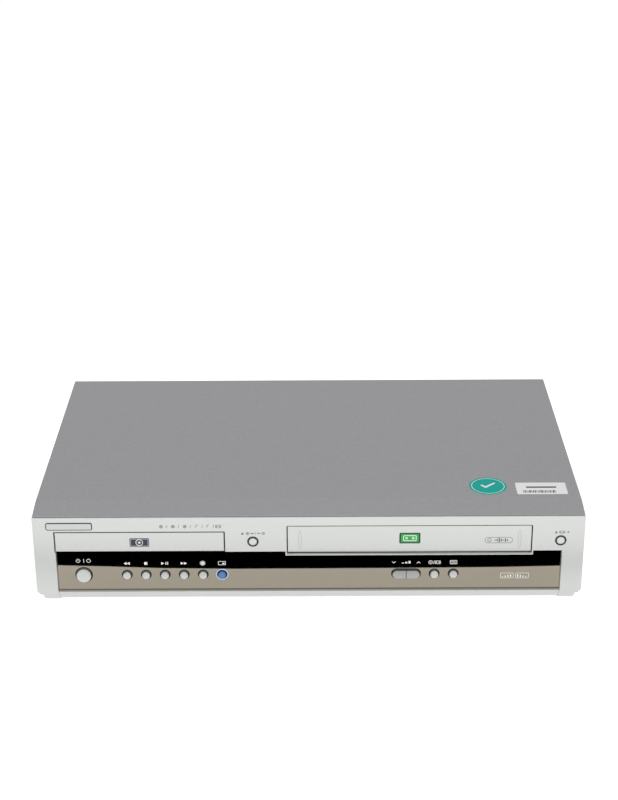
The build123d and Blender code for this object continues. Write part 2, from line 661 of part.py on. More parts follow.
def front_bezel():
    """The moulded front: face, end pillars, lower bar, strip carrier and the flanges into the case."""
    deep = PILLAR_DEPTH
    body = block((LEFT, RIGHT), (0, BEZEL_WALL), (FASCIA_LOW, BEZEL_TOP))
    for side in (-1, 1):
        body += from_front(pillar_outline(side), (0, deep))
    body += block((-STRIP_HALF - 2, STRIP_HALF + 2), (BAR_RECESS, CARRIER_BACK), (BAR_LOW, BAR_TOP))
    lip_half = TAPE_OPENING / 2 + LIP
    body += block((FLAP_X - lip_half, FLAP_X + lip_half), (0, BEZEL_WALL), (FLAP_LOW - LIP, FASCIA_LOW + 1))
    top_edges = body.edges().filter_by(Axis.X).filter_by_position(Axis.Z, BEZEL_TOP - 0.01, BEZEL_TOP + 0.01)
    body = fillet(top_edges.filter_by_position(Axis.Y, -0.01, 0.01), 0.8)
    inside = COVER_IN - 0.2
    body += block((-inside, inside), (STRIP_BACK, CARRIER_BACK), (BAR_LOW, FASCIA_LOW - 0.2))
    for side in (-1, 1):
        body += block(sorted((side * inside, side * (inside - FLANGE))), (BEZEL_WALL, FLANGE_DEPTH),
                      (BAR_LOW + 1.5, BEZEL_TOP))
    body += block((-inside, inside), (0.9, FLANGE_DEPTH), (BEZEL_TOP - 1.2, BEZEL_TOP))
    body += block((-inside, inside), (STRIP_BACK, FLANGE_DEPTH), (BAR_LOW, BAR_LOW + 1.5))
    for x, z in board_screw_places():
        body += lengthways(x, (CARRIER_BACK - 0.5, BOARD_Y), z, 3.2)
    # the tray and tape openings, and the notch under the flap
    cuts = [block((TRAY_X - TRAY_OPENING / 2, TRAY_X + TRAY_OPENING / 2), (-1, BEZEL_WALL + 0.2),
                  (FASCIA_LOW - 0.5, TRAY_TOP))]
    slot = block((FLAP_X - TAPE_OPENING / 2, FLAP_X + TAPE_OPENING / 2), (-1, BEZEL_WALL + 0.2),
                 (FLAP_LOW - 0.2, FLAP_TOP))
    cuts.append(fillet(slot.edges().filter_by(Axis.Y), 1.2))
    reach = TAPE_OPENING / 2 + 3.2
    cuts.append(block((FLAP_X - reach, FLAP_X + reach), (STRIP_BACK - 1, CARRIER_BACK + 1),
                      (NOTCH_TOP, FASCIA_LOW)))
    # the display window, keys and screws
    view = DISPLAY_HALF - 2
    cuts.append(block((DISPLAY_X - view, DISPLAY_X + view), (STRIP_BACK - 1, CARRIER_BACK + 1),
                      (KEY_ROW - DISPLAY_HEIGHT / 2 + 2, KEY_ROW + DISPLAY_HEIGHT / 2 - 2)))
    cuts += [lengthways(x, (STRIP_BACK - 1, CARRIER_BACK + 1), z, r) for x, z, r in key_holes(False)]
    cuts += [lengthways(x, (-1, BEZEL_WALL + 1), z, r) for x, z, r in key_holes(True)]
    cuts += [lengthways(x, (BEZEL_WALL, PILLAR_DEPTH + 1), z, r) for x, z, r in key_holes(True, KEY_LIP + 0.4)]
    cuts.append(pill(ROCKER_CENTRE, KEY_ROW, ROCKER_LENGTH + 2 * KEY_ROOM, ROCKER_HEIGHT + 2 * KEY_ROOM,
                     (STRIP_BACK - 1, CARRIER_BACK + 1)))
    cuts += [lengthways(x, (BOARD_Y - 5, BOARD_Y + 1), z, SCREW_R - SHANK_ROOM)
             for x, z in board_screw_places()]
    body -= cuts
    # ears that carry the flap's pins
    for side in (-1, 1):
        near = FLAP_X + side * (FLAP_HALF + 0.4)
        far = FLAP_X + side * (FLAP_HALF + 2.8)
        ear = block(sorted((near, far)), (BEZEL_WALL - 0.5, FLAP_PIVOT_Y + 2.6), (FLAP_TOP, BEZEL_TOP - 0.5))
        body += ear - crossways(sorted((near - side, far + side)), FLAP_PIVOT_Y, FLAP_PIVOT_Z, FLAP_PIN_R + RUN)
    return body


def window_strip():
    """The smoked mirror window across the lower front, pierced for the keys."""
    plate = block((-STRIP_HALF, STRIP_HALF), (RECESS, STRIP_BACK), (BAR_TOP, FASCIA_LOW - 0.2))
    reach = TAPE_OPENING / 2 + 3.2
    cuts = [block((FLAP_X - reach, FLAP_X + reach), (RECESS - 1, STRIP_BACK + 1), (NOTCH_TOP, FASCIA_LOW))]
    cuts += [lengthways(x, (RECESS - 1, STRIP_BACK + 1), z, r) for x, z, r in key_holes(False)]
    cuts.append(pill(ROCKER_CENTRE, KEY_ROW, ROCKER_LENGTH + 2 * KEY_ROOM, ROCKER_HEIGHT + 2 * KEY_ROOM,
                     (RECESS - 1, STRIP_BACK + 1)))
    return plate - cuts


def switch_front():
    return BOARD_Y - SWITCH_DEPTH - SWITCH_HEAD


def round_key(x, z, radius, upper):
    """A key cap with a softened face, a flange that keeps it behind its wall and a stem to its switch."""
    face = -UPPER_KEY_PROUD if upper else RECESS - KEY_PROUD
    behind = (BEZEL_WALL if upper else CARRIER_BACK) + 0.1
    cap = lengthways(x, (face, behind + KEY_FLANGE), z, radius)
    cap = fillet(cap.edges().filter_by(GeomType.CIRCLE).sort_by(Axis.Y)[0], 0.7)
    room = UPPER_KEY_ROOM if upper else KEY_ROOM
    flange = lengthways(x, (behind, behind + KEY_FLANGE), z, radius + room + KEY_LIP)
    stem = lengthways(x, (behind, switch_front() - KEY_TRAVEL - 0.1), z, 1.8)
    return cap + flange + stem


def rocker_key(side):
    """One half of the pill-shaped pair of channel keys."""
    face = RECESS - KEY_PROUD
    behind = CARRIER_BACK + 0.1
    whole = pill(ROCKER_CENTRE, KEY_ROW, ROCKER_LENGTH, ROCKER_HEIGHT, (face, behind + KEY_FLANGE))
    whole = fillet(whole.edges().filter_by_position(Axis.Y, face - 0.01, face + 0.01), 0.6)
    flange = pill(ROCKER_CENTRE, KEY_ROW, ROCKER_LENGTH + 2 * (KEY_ROOM + KEY_LIP),
                  ROCKER_HEIGHT + 2 * (KEY_ROOM + KEY_LIP), (behind, behind + KEY_FLANGE))
    near = ROCKER_CENTRE + side * ROCKER_SPLIT / 2
    far = ROCKER_CENTRE + side * ROCKER_LENGTH
    keep = block(sorted((near, far)), (face - 1, behind + KEY_FLANGE + 1),
                 (KEY_ROW - ROCKER_HEIGHT, KEY_ROW + ROCKER_HEIGHT))
    half = (whole + flange) & keep
    return half + lengthways(rocker_x(side), (behind, switch_front() - KEY_TRAVEL - 0.1), KEY_ROW, 1.8)


def rocker_x(side):
    return ROCKER_CENTRE + side * ROCKER_LENGTH / 4


def switch_places():
    return [(x, z) for _, x, z, _, _ in ROUND_KEYS] + [(rocker_x(side), KEY_ROW) for _, side in ROCKER_KEYS]


def key_board():
    """The board behind the front, with a tongue up to each upper key."""
    end = STRIP_HALF + 6
    board = block((-end, end), (BOARD_Y, BOARD_Y + BOARD), (BOARD_LOW, BOARD_TOP))
    for _, x, z, _, upper in ROUND_KEYS:
        if upper:
            board += block((x - TONGUE / 2, min(x + TONGUE / 2, COVER_IN - 4)), (BOARD_Y, BOARD_Y + BOARD),
                           (BOARD_TOP - 1, TONGUE_TOP))
    through = (BOARD_Y - 1, BOARD_Y + BOARD + 1)
    return board - [lengthways(x, through, z, SCREW_R) for x, z in board_screw_places()]


def key_switches():
    """A push switch behind each key."""
    switches = []
    for x, z in switch_places():
        front = BOARD_Y - SWITCH_DEPTH
        body = block((x - SWITCH / 2, x + SWITCH / 2), (front, BOARD_Y), (z - SWITCH / 2, z + SWITCH / 2))
        switches.append(body + lengthways(x, (switch_front(), front + 0.2), z, SWITCH_HEAD_R))
    return group(switches)


def display_glass():
    """The fluorescent display behind the middle of the window strip."""
    return block((DISPLAY_X - DISPLAY_HALF, DISPLAY_X + DISPLAY_HALF), (BOARD_Y - DISPLAY_DEPTH, BOARD_Y),
                 (KEY_ROW - DISPLAY_HEIGHT / 2, KEY_ROW + DISPLAY_HEIGHT / 2))


# ------------------------------------------------------------------ the disc side
def disc_tray():
    """The tray: two disc recesses, a slot open to the back for the spindle and optics, and a rack below."""
    left, right = TRAY_X - TRAY_BODY / 2, TRAY_X + TRAY_BODY / 2
    body = block((left, right), (DOOR, TRAY_BACK), (TRAY_FLOOR, TRAY_RIM))
    body = fillet(body.edges().filter_by(Axis.Z).sort_by(Axis.Y)[-2:], 4)
    deep = TRAY_RIM - RECESS_DEPTH
    cuts = [upright(TRAY_X, DISC_CENTRE, (deep, TRAY_RIM + 1), DISC_R + DISC_ROOM),
            upright(TRAY_X, DISC_CENTRE, (deep - 1.0, TRAY_RIM + 1), SMALL_DISC_R + DISC_ROOM),
            upright(TRAY_X, DISC_CENTRE, (TRAY_FLOOR - 1, TRAY_RIM + 1), TRAY_SLOT / 2),
            block((TRAY_X - TRAY_SLOT / 2, TRAY_X + TRAY_SLOT / 2), (DISC_CENTRE, TRAY_BACK + 1),
                  (TRAY_FLOOR - 1, TRAY_RIM + 1))]
    for side in (-1, 1):  # finger room beside the disc
        cuts.append(upright(TRAY_X + side * 44, DISC_CENTRE - 46, (deep - 1.0, TRAY_RIM + 1), 11))
    height = (FASCIA_LOW + RACK_ROOM, TRAY_FLOOR + 0.5)
    teeth = rack(TRAY_X + RACK_OFFSET, (DOOR + 12, TRAY_BACK), height, 5.0)
    return body - cuts + teeth


def tray_door():
    """The silver panel clipped to the front of the tray."""
    half = TRAY_OPENING / 2 - DOOR_LINE
    door = block((TRAY_X - half, TRAY_X + half), (0.0, DOOR), (DOOR_LOW, DOOR_TOP))
    return fillet(door.edges().filter_by_position(Axis.Y, -0.01, 0.01), 0.5)


def pinion_x():
    return TRAY_X + RACK_OFFSET - GEAR_MODULE * PINION_TEETH / 2


def tray_gear():
    """The moulded double gear: the pinion under the tray and the wheel that its motor drives."""
    small = involute_gear(PINION_TEETH, (GEAR_LOW + WHEEL - 0.2, TRAY_FLOOR - 0.6), REEL_PIN_R + RUN)
    large = involute_gear(WHEEL_TEETH, (GEAR_LOW, GEAR_LOW + WHEEL), REEL_PIN_R + RUN)
    return Pos(pinion_x(), PINION_Y, 0) * (small + large)


def driver_place():
    return (pinion_x() - GEAR_MODULE * (WHEEL_TEETH + DRIVER_TEETH) / 2, PINION_Y)


def loader_frame():
    """The disc loader's moulding: side walls with ledges, a floor ring, legs, lugs and gear pins."""
    low, top = LOADER_LOW, LOADER_TOP
    y = (LOADER_FRONT, LOADER_BACK)
    body = block((TRAY_X - LOADER_OUT, TRAY_X + LOADER_OUT), y, (low, low + 2))
    opening = TRAVERSE_HALF + 1.5
    body -= block((TRAY_X - opening, TRAY_X + opening), (TRAVERSE_FRONT - 3, TRAVERSE_PIVOT + 4),
                  (low - 1, low + 3))
    for side in (-1, 1):
        body += block(sorted((TRAY_X + side * LOADER_IN, TRAY_X + side * LOADER_OUT)), y, (low, top))
        rooted = TRAY_X + side * (LOADER_IN + 0.5)
        ledge = block(sorted((TRAY_X + side * (LOADER_IN - 3), rooted)), y,
                      (TRAY_FLOOR - 2.5, TRAY_FLOOR - 0.2))
        keeper = block(sorted((TRAY_X + side * (LOADER_IN - 2), rooted)), (y[0], y[0] + 12),
                       (TRAY_RIM + 0.3, TRAY_RIM + 2.3))
        lug = block(sorted((TRAY_X + side * (TRAVERSE_HALF + 0.4), TRAY_X + side * (TRAVERSE_HALF + 3.4))),
                    (TRAVERSE_PIVOT - 4, TRAVERSE_PIVOT + 4), (low, TRAVERSE_Z + 4))
        lug -= crossways(sorted((TRAY_X + side * TRAVERSE_HALF, TRAY_X + side * (TRAVERSE_HALF + 5))),
                         TRAVERSE_PIVOT, TRAVERSE_Z, RAIL_R + RUN)
        body += [ledge, keeper, lug]
        for y_leg in (LOADER_FRONT + 6, LOADER_BACK - 6):
            body += upright(TRAY_X + side * (LOADER_IN - 6), y_leg, (PAN_TOP, low + 1), 4)
    body += block((TRAY_X - LOADER_OUT, TRAY_X + LOADER_OUT), (LOADER_BACK - LOADER_WALL, LOADER_BACK),
                  (low, TRAY_FLOOR - 6))
    body += upright(pinion_x(), PINION_Y, (low, GEAR_LOW - 0.3), 4)
    body += upright(pinion_x(), PINION_Y, (low, TRAY_FLOOR - 0.8), REEL_PIN_R)
    return body


def loader_motor():
    """The small motor that drives the tray: its can and its end boss."""
    x, y = driver_place()
    can = upright(x, y, (LOADER_LOW + 2, GEAR_LOW - 1.5), 7.0)
    can = fillet(can.edges().filter_by(GeomType.CIRCLE), 0.8)
    boss = upright(x, y, (GEAR_LOW - 2, GEAR_LOW - 0.4), 2.5)
    return can + boss - upright(x, y, (LOADER_LOW + 4, GEAR_LOW), 1.0 + RUN)


def driver_gear():
    """The motor's shaft with its gear, a tooth turned towards the wheel that it drives."""
    x, y = driver_place()
    teeth = involute_gear(DRIVER_TEETH, (GEAR_LOW, GEAR_LOW + WHEEL - 0.4), 0.9)
    turned = Rot(0, 0, 180 / DRIVER_TEETH) * teeth
    return Pos(x, y, 0) * (turned + upright(0, 0, (LOADER_LOW + 5, GEAR_LOW + WHEEL), 1.0))


def clamp_bridge():
    """The strap across the loader that holds the disc clamp over the spindle."""
    y = (BRIDGE_FRONT, BRIDGE_FRONT + BRIDGE_WIDTH)
    strap = block((TRAY_X - LOADER_OUT, TRAY_X + LOADER_OUT), y, (LOADER_TOP, LOADER_TOP + BRIDGE))
    strap = fillet(strap.edges().filter_by(Axis.Z), 3)
    return strap - upright(TRAY_X, DISC_CENTRE, (LOADER_TOP - 1, LOADER_TOP + BRIDGE + 1), 9.6)


def disc_clamp():
    """The free puck that presses a disc onto the turntable."""
    puck = upright(TRAY_X, DISC_CENTRE, (CLAMP_BOTTOM, CLAMP_BOTTOM + 2), CLAMP_R)
    puck += upright(TRAY_X, DISC_CENTRE, (CLAMP_BOTTOM, LOADER_TOP + BRIDGE + 1), 9.0)
    puck += upright(TRAY_X, DISC_CENTRE, (LOADER_TOP + BRIDGE + GAP, LOADER_TOP + BRIDGE + 1.6), 12.0)
    return puck


def traverse_base():
    """The tilting plate under the tray, with its pivots, rail ends and the spindle motor's body."""
    left, right = TRAY_X - TRAVERSE_HALF, TRAY_X + TRAVERSE_HALF
    z = TRAVERSE_Z
    base = block((left, right), (TRAVERSE_FRONT, TRAVERSE_PIVOT + 2), (z - 1, z + 1))
    base -= block((left + 5, right - 5), (DISC_CENTRE + 16, TRAVERSE_PIVOT - 12), (z - 2, z + 2))
    base += upright(TRAY_X, DISC_CENTRE, (z - 1, TRAY_FLOOR - 3), 12)
    base -= upright(TRAY_X, DISC_CENTRE, (z, TRAY_FLOOR), SPINDLE_R + RUN)
    for y in (DISC_CENTRE + 13, TRAVERSE_PIVOT - 12):
        base += block((TRAY_X - RAIL_OFFSET - 3.5, TRAY_X + RAIL_OFFSET + 8), (y, y + 3), (z, z + 6))
    base += crossways((TRAY_X - TRAVERSE_HALF - 3, TRAY_X + TRAVERSE_HALF + 3), TRAVERSE_PIVOT, z, RAIL_R)
    holes = [lengthways(TRAY_X + side * RAIL_OFFSET, rail_span(), z + 3.5, RAIL_R) for side in (-1, 1)]
    holes.append(lengthways(lead_screw_x(), rail_span(), z + 3.5, 1.2 + RUN))
    return base - holes


def rail_span():
    """The rails and the lead screw end halfway into the blocks that hold them."""
    return (DISC_CENTRE + 14.5, TRAVERSE_PIVOT - 10.5)


def lead_screw_x():
    return TRAY_X + RAIL_OFFSET + 5.0


def sled_rails():
    return group([lengthways(TRAY_X + side * RAIL_OFFSET, rail_span(), TRAVERSE_Z + 3.5, RAIL_R)
                  for side in (-1, 1)])


def lead_screw():
    """The screw that drives the pickup, its thread drawn as rings, with end play in its two bearings."""
    y = (rail_span()[0] + 2 * RUN, rail_span()[1] - 2 * RUN)
    screw = lengthways(lead_screw_x(), y, TRAVERSE_Z + 3.5, 1.2)
    rings = int((y[1] - y[0] - 8) / SCREW_PITCH)
    for k in range(rings):
        start = y[0] + 3 + k * SCREW_PITCH
        screw += lengthways(lead_screw_x(), (start, start + SCREW_PITCH / 2), TRAVERSE_Z + 3.5, 1.5)
    return screw


def pickup_sled():
    """The laser pickup riding on two rails, its lens under the disc's inner tracks."""
    z = TRAVERSE_Z + 3.5
    front, back = DISC_CENTRE + SLED_START, DISC_CENTRE + SLED_START + SLED_LENGTH
    sled = block((TRAY_X - RAIL_OFFSET - 3.2, TRAY_X + RAIL_OFFSET + 3.0), (front, back), (z - 3, z + 4))
    sled += block((lead_screw_x() - 3, lead_screw_x() + 2.6), (front + 8, front + 14), (z - 2.2, z + 2.6))
    sled -= [lengthways(TRAY_X + side * RAIL_OFFSET, (front - 1, back + 1), z, RAIL_R + 0.05)
             for side in (-1, 1)]
    sled -= lengthways(lead_screw_x(), (front, back), z, 1.5 + 0.1)
    lens = upright(TRAY_X, front + 0.4 * SLED_LENGTH, (z + 3, TRAY_FLOOR - 1.0), 3.2)
    lens = fillet(lens.edges().filter_by(GeomType.CIRCLE).sort_by(Axis.Z)[-1], 0.8)
    return sled + lens


def turntable():
    """The spinning seat for a disc, with a cone that centres it."""
    low = TRAY_FLOOR - 3 + GAP
    seat = TRAY_RIM - RECESS_DEPTH + 0.6
    table = upright(TRAY_X, DISC_CENTRE, (low, seat), TURNTABLE_R)
    cone = Pos(TRAY_X, DISC_CENTRE, seat + 1.1) * Cone(7.3, 5.8, 2.2)
    return table + cone + upright(TRAY_X, DISC_CENTRE, (TRAVERSE_Z + 1, low + 1), SPINDLE_R)


# ------------------------------------------------------------------ the tape side
def cassette_flap():
    """The hinged door over the tape slot, its lower edge curled inwards, with two ears and pins."""
    face, back = FLAP_INSET, FLAP_INSET + FLAP
    bottom = FLAP_LOW + 0.2
    curl_y, curl_z = face + FLAP_CURL, bottom + FLAP_CURL
    x0 = FLAP_X - FLAP_HALF
    inner = FLAP_CURL - FLAP
    top = FLAP_TOP - FLAP_GAP
    eighth = math.sqrt(0.5)
    outer_way = (x0, curl_y - FLAP_CURL * eighth, curl_z - FLAP_CURL * eighth)
    outer_arc = ThreePointArc((x0, face, curl_z), outer_way, (x0, curl_y, bottom))
    inner_way = (x0, curl_y - inner * eighth, curl_z - inner * eighth)
    inner_arc = ThreePointArc((x0, curl_y, curl_z - inner), inner_way, (x0, back, curl_z))
    wire = [Line((x0, face, top), (x0, face, curl_z)), outer_arc,
            Line((x0, curl_y, bottom), (x0, curl_y, curl_z - inner)), inner_arc,
            Line((x0, back, curl_z), (x0, back, top)), Line((x0, back, top), (x0, face, top))]
    flap = extrude(make_face(wire), amount=2 * FLAP_HALF, dir=(1, 0, 0))
    for side in (-1, 1):
        outer_x = FLAP_X + side * (FLAP_HALF - 1.0)
        inner_x = FLAP_X + side * (FLAP_HALF - 3.5)
        span = sorted((outer_x, inner_x))
        strap = block(span, (BEZEL_WALL + 0.3, FLAP_PIVOT_Y + 1.5), (FLAP_TOP - 9, FLAP_PIVOT_Z))
        strap += block(span, (back - 0.3, FLAP_PIVOT_Y + 1.5), (FLAP_TOP - 9, FLAP_TOP - 1))
        strap += crossways(span, FLAP_PIVOT_Y, FLAP_PIVOT_Z, 1.5)
        reach = sorted((outer_x - side, FLAP_X + side * (FLAP_HALF + 2.6)))
        pin = crossways(reach, FLAP_PIVOT_Y, FLAP_PIVOT_Z, FLAP_PIN_R)
        flap += [strap, pin]
    return flap


def reel_places():
    return [(FLAP_X + side * REEL_SPACING / 2, REEL_Y) for side in (-1, 1)]


def guide_start(side):
    return (FLAP_X + side * GUIDE_SPREAD, GUIDE_Y)


def guide_way(side):
    lean = math.radians(GUIDE_LEAN)
    return (side * math.sin(lean), math.cos(lean))


def deck_plate():
    """The steel plate that carries the tape mechanism, slotted for the guides, with pins for the reels."""
    z = (DECK_Z, DECK_TOP)
    plate = block((FLAP_X - DECK_SIDE, FLAP_X + DECK_SIDE), (DECK_FRONT, DECK_BACK), z)
    plate = fillet(plate.edges().filter_by(Axis.Z), 5)
    cuts = [upright(CAPSTAN[0], CAPSTAN[1], (DECK_Z - 1, DECK_TOP + 1), CAPSTAN_R + 2.0)]
    for side in (-1, 1):
        x, y = guide_start(side)
        slot = upright(0, 0, (DECK_Z - 1, DECK_TOP + 1), SLOT_WIDTH / 2)
        slot += upright(0, GUIDE_TRAVEL, (DECK_Z - 1, DECK_TOP + 1), SLOT_WIDTH / 2)
        slot += block((-SLOT_WIDTH / 2, SLOT_WIDTH / 2), (0, GUIDE_TRAVEL), (DECK_Z - 1, DECK_TOP + 1))
        cuts.append(Pos(x, y, 0) * Rot(0, 0, -side * GUIDE_LEAN) * slot)
    plate -= cuts
    for x, y in reel_places():
        plate += upright(x, y, (DECK_Z, REEL_TOP - 2), REEL_PIN_R)
    plate += upright(PINCH_PIVOT[0], PINCH_PIVOT[1], (DECK_Z, DECK_TOP + PINCH_PIN), REEL_PIN_R)
    bearing = upright(CAPSTAN[0], CAPSTAN[1], (DECK_Z, DECK_TOP + 6), CAPSTAN_R + 3.0)
    return plate + bearing - upright(CAPSTAN[0], CAPSTAN[1], (DECK_Z - 1, DECK_TOP + 7), CAPSTAN_R + RUN)


def reel_table(place):
    """A reel seat with three drive splines, turning on a pin of the deck."""
    x, y = place
    reel = upright(x, y, (DECK_TOP + 0.3, DECK_TOP + 2.3), REEL_FLANGE_R)
    reel += upright(x, y, (DECK_TOP + 0.3, REEL_TOP - 1.0), REEL_HUB_R)
    reel += Pos(x, y, REEL_TOP - 0.5) * Cone(REEL_HUB_R, REEL_HUB_R - 2, 1.0)
    spline = block((REEL_HUB_R - 1, REEL_HUB_R + 2.2), (-0.9, 0.9), (DECK_TOP + 2, REEL_TOP - 3))
    for k in range(3):
        reel += Pos(x, y, 0) * Rot(0, 0, 120 * k) * spline
    return reel - upright(x, y, (DECK_TOP, REEL_TOP - 1.5), REEL_PIN_R + RUN)


def drum_tilt(shape):
    """Leans a drum piece, drawn upright over its foot, back to the angle of the tape."""
    return Pos(FLAP_X, DRUM_Y, DECK_TOP) * Rot(-DRUM_TILT, 0, 0) * shape


def lower_drum():
    """The fixed half of the drum on its slanting pedestal, with the shaft."""
    rise = DRUM_SPLIT - DECK_TOP
    drum = drum_tilt(upright(0, 0, (7.0, rise - GAP), DRUM_R))
    drum += drum_tilt(upright(0, 0, (-6.0, 8.0), DRUM_R - 8))
    drum += drum_tilt(upright(0, 0, (rise - 2, DRUM_TOP - DECK_TOP - 4), DRUM_SHAFT_R))
    return drum - block((FLAP_X - 60, FLAP_X + 60), (DRUM_Y - 60, DRUM_Y + 60), (DECK_TOP - 20, DECK_TOP))


def head_drum():
    """The spinning half of the drum, with its two head windows and the rotor on top."""
    rise = DRUM_SPLIT - DECK_TOP
    top = DRUM_TOP - DECK_TOP
    drum = upright(0, 0, (rise, top - 5), DRUM_R) + upright(0, 0, (top - 6, top), DRUM_R * 0.62)
    for turn in (0, 180):
        drum -= Rot(0, 0, turn) * block((DRUM_R - 2.0, DRUM_R + 1), (-2, 2), (rise - 1, rise + 2.5))
    return drum_tilt(drum - upright(0, 0, (rise - 1, top - 3.5), DRUM_SHAFT_R + RUN))


def capstan():
    """The shaft that pulls the tape, with its flywheel under the deck."""
    x, y = CAPSTAN
    top = DECK_Z - FLYWHEEL_GAP
    wheel = upright(x, y, (top - FLYWHEEL, top), FLYWHEEL_R)
    wheel = chamfer(wheel.edges().filter_by(GeomType.CIRCLE), 0.8)
    return wheel + upright(x, y, (top - 0.5, DECK_TOP + CAPSTAN_RISE), CAPSTAN_R)


def pinch_rest(shape):
    """Turns a pinch piece, drawn pressed against the capstan, back to where it rests."""
    x, y = PINCH_PIVOT
    return Pos(x, y, 0) * Rot(0, 0, PINCH_SWING) * Pos(-x, -y, 0) * shape


def pinch_centre():
    """The roller's middle when it presses the capstan."""
    return (CAPSTAN[0] + PINCH_REACH, CAPSTAN[1])


def pinch_arm():
    """The lever that swings the roller in, on a pin of the deck."""
    x, y = PINCH_PIVOT
    px, py = pinch_centre()
    low = DECK_TOP + PINCH_RISE
    length = math.dist((x, y), (px, py))
    lean = math.degrees(math.atan2(py - y, px - x))
    bar = Pos(x, y, 0) * Rot(0, 0, lean) * block((0, length), (-3, 3), (low, low + 2))
    arm = bar + upright(x, y, (DECK_TOP + GAP, low + 6), 4.5) + upright(px, py, (low, low + 2), 3.5)
    arm += upright(px, py, (low, low + 18), REEL_PIN_R)
    return pinch_rest(arm - upright(x, y, (DECK_TOP, low + 7), REEL_PIN_R + RUN))


def pinch_roller():
    """The rubber roller on the pinch lever."""
    px, py = pinch_centre()
    low = DECK_TOP + PINCH_RISE + 2.0 + GAP
    roller = upright(px, py, (low, low + PINCH_LENGTH), PINCH_R)
    return pinch_rest(roller - upright(px, py, (low - 1, low + PINCH_LENGTH + 1), REEL_PIN_R + RUN))


def tape_guide(side):
    """A carriage with a roller post that draws the tape out along its slot."""
    x, y = guide_start(side)
    base = block((-5, 5), (-4.5, 4.5), (DECK_TOP + 0.2, DECK_TOP + 2.6))
    base += upright(0, 0, (DECK_Z - 2.2, DECK_TOP + 1), SLOT_WIDTH / 2 - 0.1)
    base += upright(0, 0, (DECK_Z - 2.2, DECK_Z - 0.3), SLOT_WIDTH / 2 + 1.5)
    base += upright(0, 0, (DECK_TOP + 2, DECK_TOP + GUIDE_RISE), 3.0)
    base += upright(0, 0, (DECK_TOP + 2.6, DECK_TOP + 4), 3.8)
    base += upright(0, 0, (DECK_TOP + GUIDE_RISE - 1, DECK_TOP + GUIDE_RISE + 0.5), 3.8)
    return Pos(x, y, 0) * Rot(0, 0, -side * GUIDE_LEAN) * base


def tape_heads():
    """The fixed heads: erase on the supply side, sound and control by the capstan."""
    places = [(FLAP_X - ERASE_SIDE, DRUM_Y - CAPSTAN_AHEAD),
              (CAPSTAN[0] - HEAD_WIDTH / 2 - 1, CAPSTAN[1] + SOUND_BEHIND)]
    heads = [block((x - HEAD_WIDTH / 2, x + HEAD_WIDTH / 2), (y - HEAD_LENGTH / 2, y + HEAD_LENGTH / 2),
                   (DECK_TOP, DECK_TOP + HEAD_HEIGHT)) for x, y in places]
    return group([fillet(head.edges().filter_by(Axis.Z), 1.0) for head in heads])


def holder_pins():
    """Where the holder's pins run in the slider, along and up."""
    return [(HOLDER_FRONT + 22, HOLDER_FLOOR + 11), (HOLDER_FRONT + HOLDER_DEPTH - 18, HOLDER_FLOOR + 11)]


def slider_pins():
    """Where the slider's pins run in the brackets."""
    return [(HOLDER_FRONT + 13, HOLDER_FLOOR + 20), (HOLDER_FRONT + HOLDER_DEPTH - 9, HOLDER_FLOOR + 20)]


def cassette_holder():
    """The sheet basket that a tape slides into, open in front, behind and below the tape's reels."""
    y = (HOLDER_FRONT, HOLDER_FRONT + HOLDER_DEPTH)
    low, roof = HOLDER_FLOOR - HOLDER_SHEET, HOLDER_ROOF
    holder = block((FLAP_X - HOLDER_HALF, FLAP_X + HOLDER_HALF), y, (roof, roof + HOLDER_SHEET))
    window = HOLDER_HALF - 24
    holder -= block((FLAP_X - window, FLAP_X + window), (y[0] + 18, y[1] - 16), (roof - 1, roof + 2))
    for side in (-1, 1):
        wall = sorted((FLAP_X + side * HOLDER_IN_HALF, FLAP_X + side * HOLDER_HALF))
        holder += block(wall, y, (low, roof + HOLDER_SHEET))
        ledge = sorted((FLAP_X + side * (HOLDER_IN_HALF - HOLDER_LEDGE), FLAP_X + side * HOLDER_HALF))
        holder += block(ledge, y, (low, HOLDER_FLOOR))
        for py, pz in holder_pins():
            span = sorted((FLAP_X + side * (HOLDER_HALF - 0.5), FLAP_X + side * (SLIDER_OUT + 0.2)))
            holder += crossways(span, py, pz, GUIDE_PIN_R)
    return holder


def lift_slider():
    """The two plates that carry the holder inwards, tied by a bar, with slots that let it down."""
    y = (HOLDER_FRONT + 8, HOLDER_FRONT + HOLDER_DEPTH - 4)
    top = HOLDER_ROOF + HOLDER_SHEET + 3
    slot_r = GUIDE_PIN_R + PIN_ROOM
    slider = None
    for side in (-1, 1):
        wall = sorted((FLAP_X + side * SLIDER_IN, FLAP_X + side * SLIDER_OUT))
        plate = block(wall, y, (HOLDER_FLOOR + 11 - HOLDER_DOWN - 5, top))
        cut = (wall[0] - 1, wall[1] + 1)
        for py, pz in holder_pins():
            plate -= block(cut, (py - slot_r, py + slot_r), (pz - HOLDER_DOWN, pz))
            plate -= crossways(cut, py, pz, slot_r)
            plate -= crossways(cut, py, pz - HOLDER_DOWN, slot_r)
        for py, pz in slider_pins():
            span = sorted((FLAP_X + side * (SLIDER_OUT - 0.5), FLAP_X + side * (BRACKET_OUT + 0.2)))
            plate += crossways(span, py, pz, GUIDE_PIN_R)
        slider = plate if slider is None else slider + plate
    bar_y = HOLDER_FRONT + HOLDER_DEPTH - 24
    return slider + block((FLAP_X - SLIDER_OUT, FLAP_X + SLIDER_OUT), (bar_y, bar_y + 12), (top - 1.5, top))


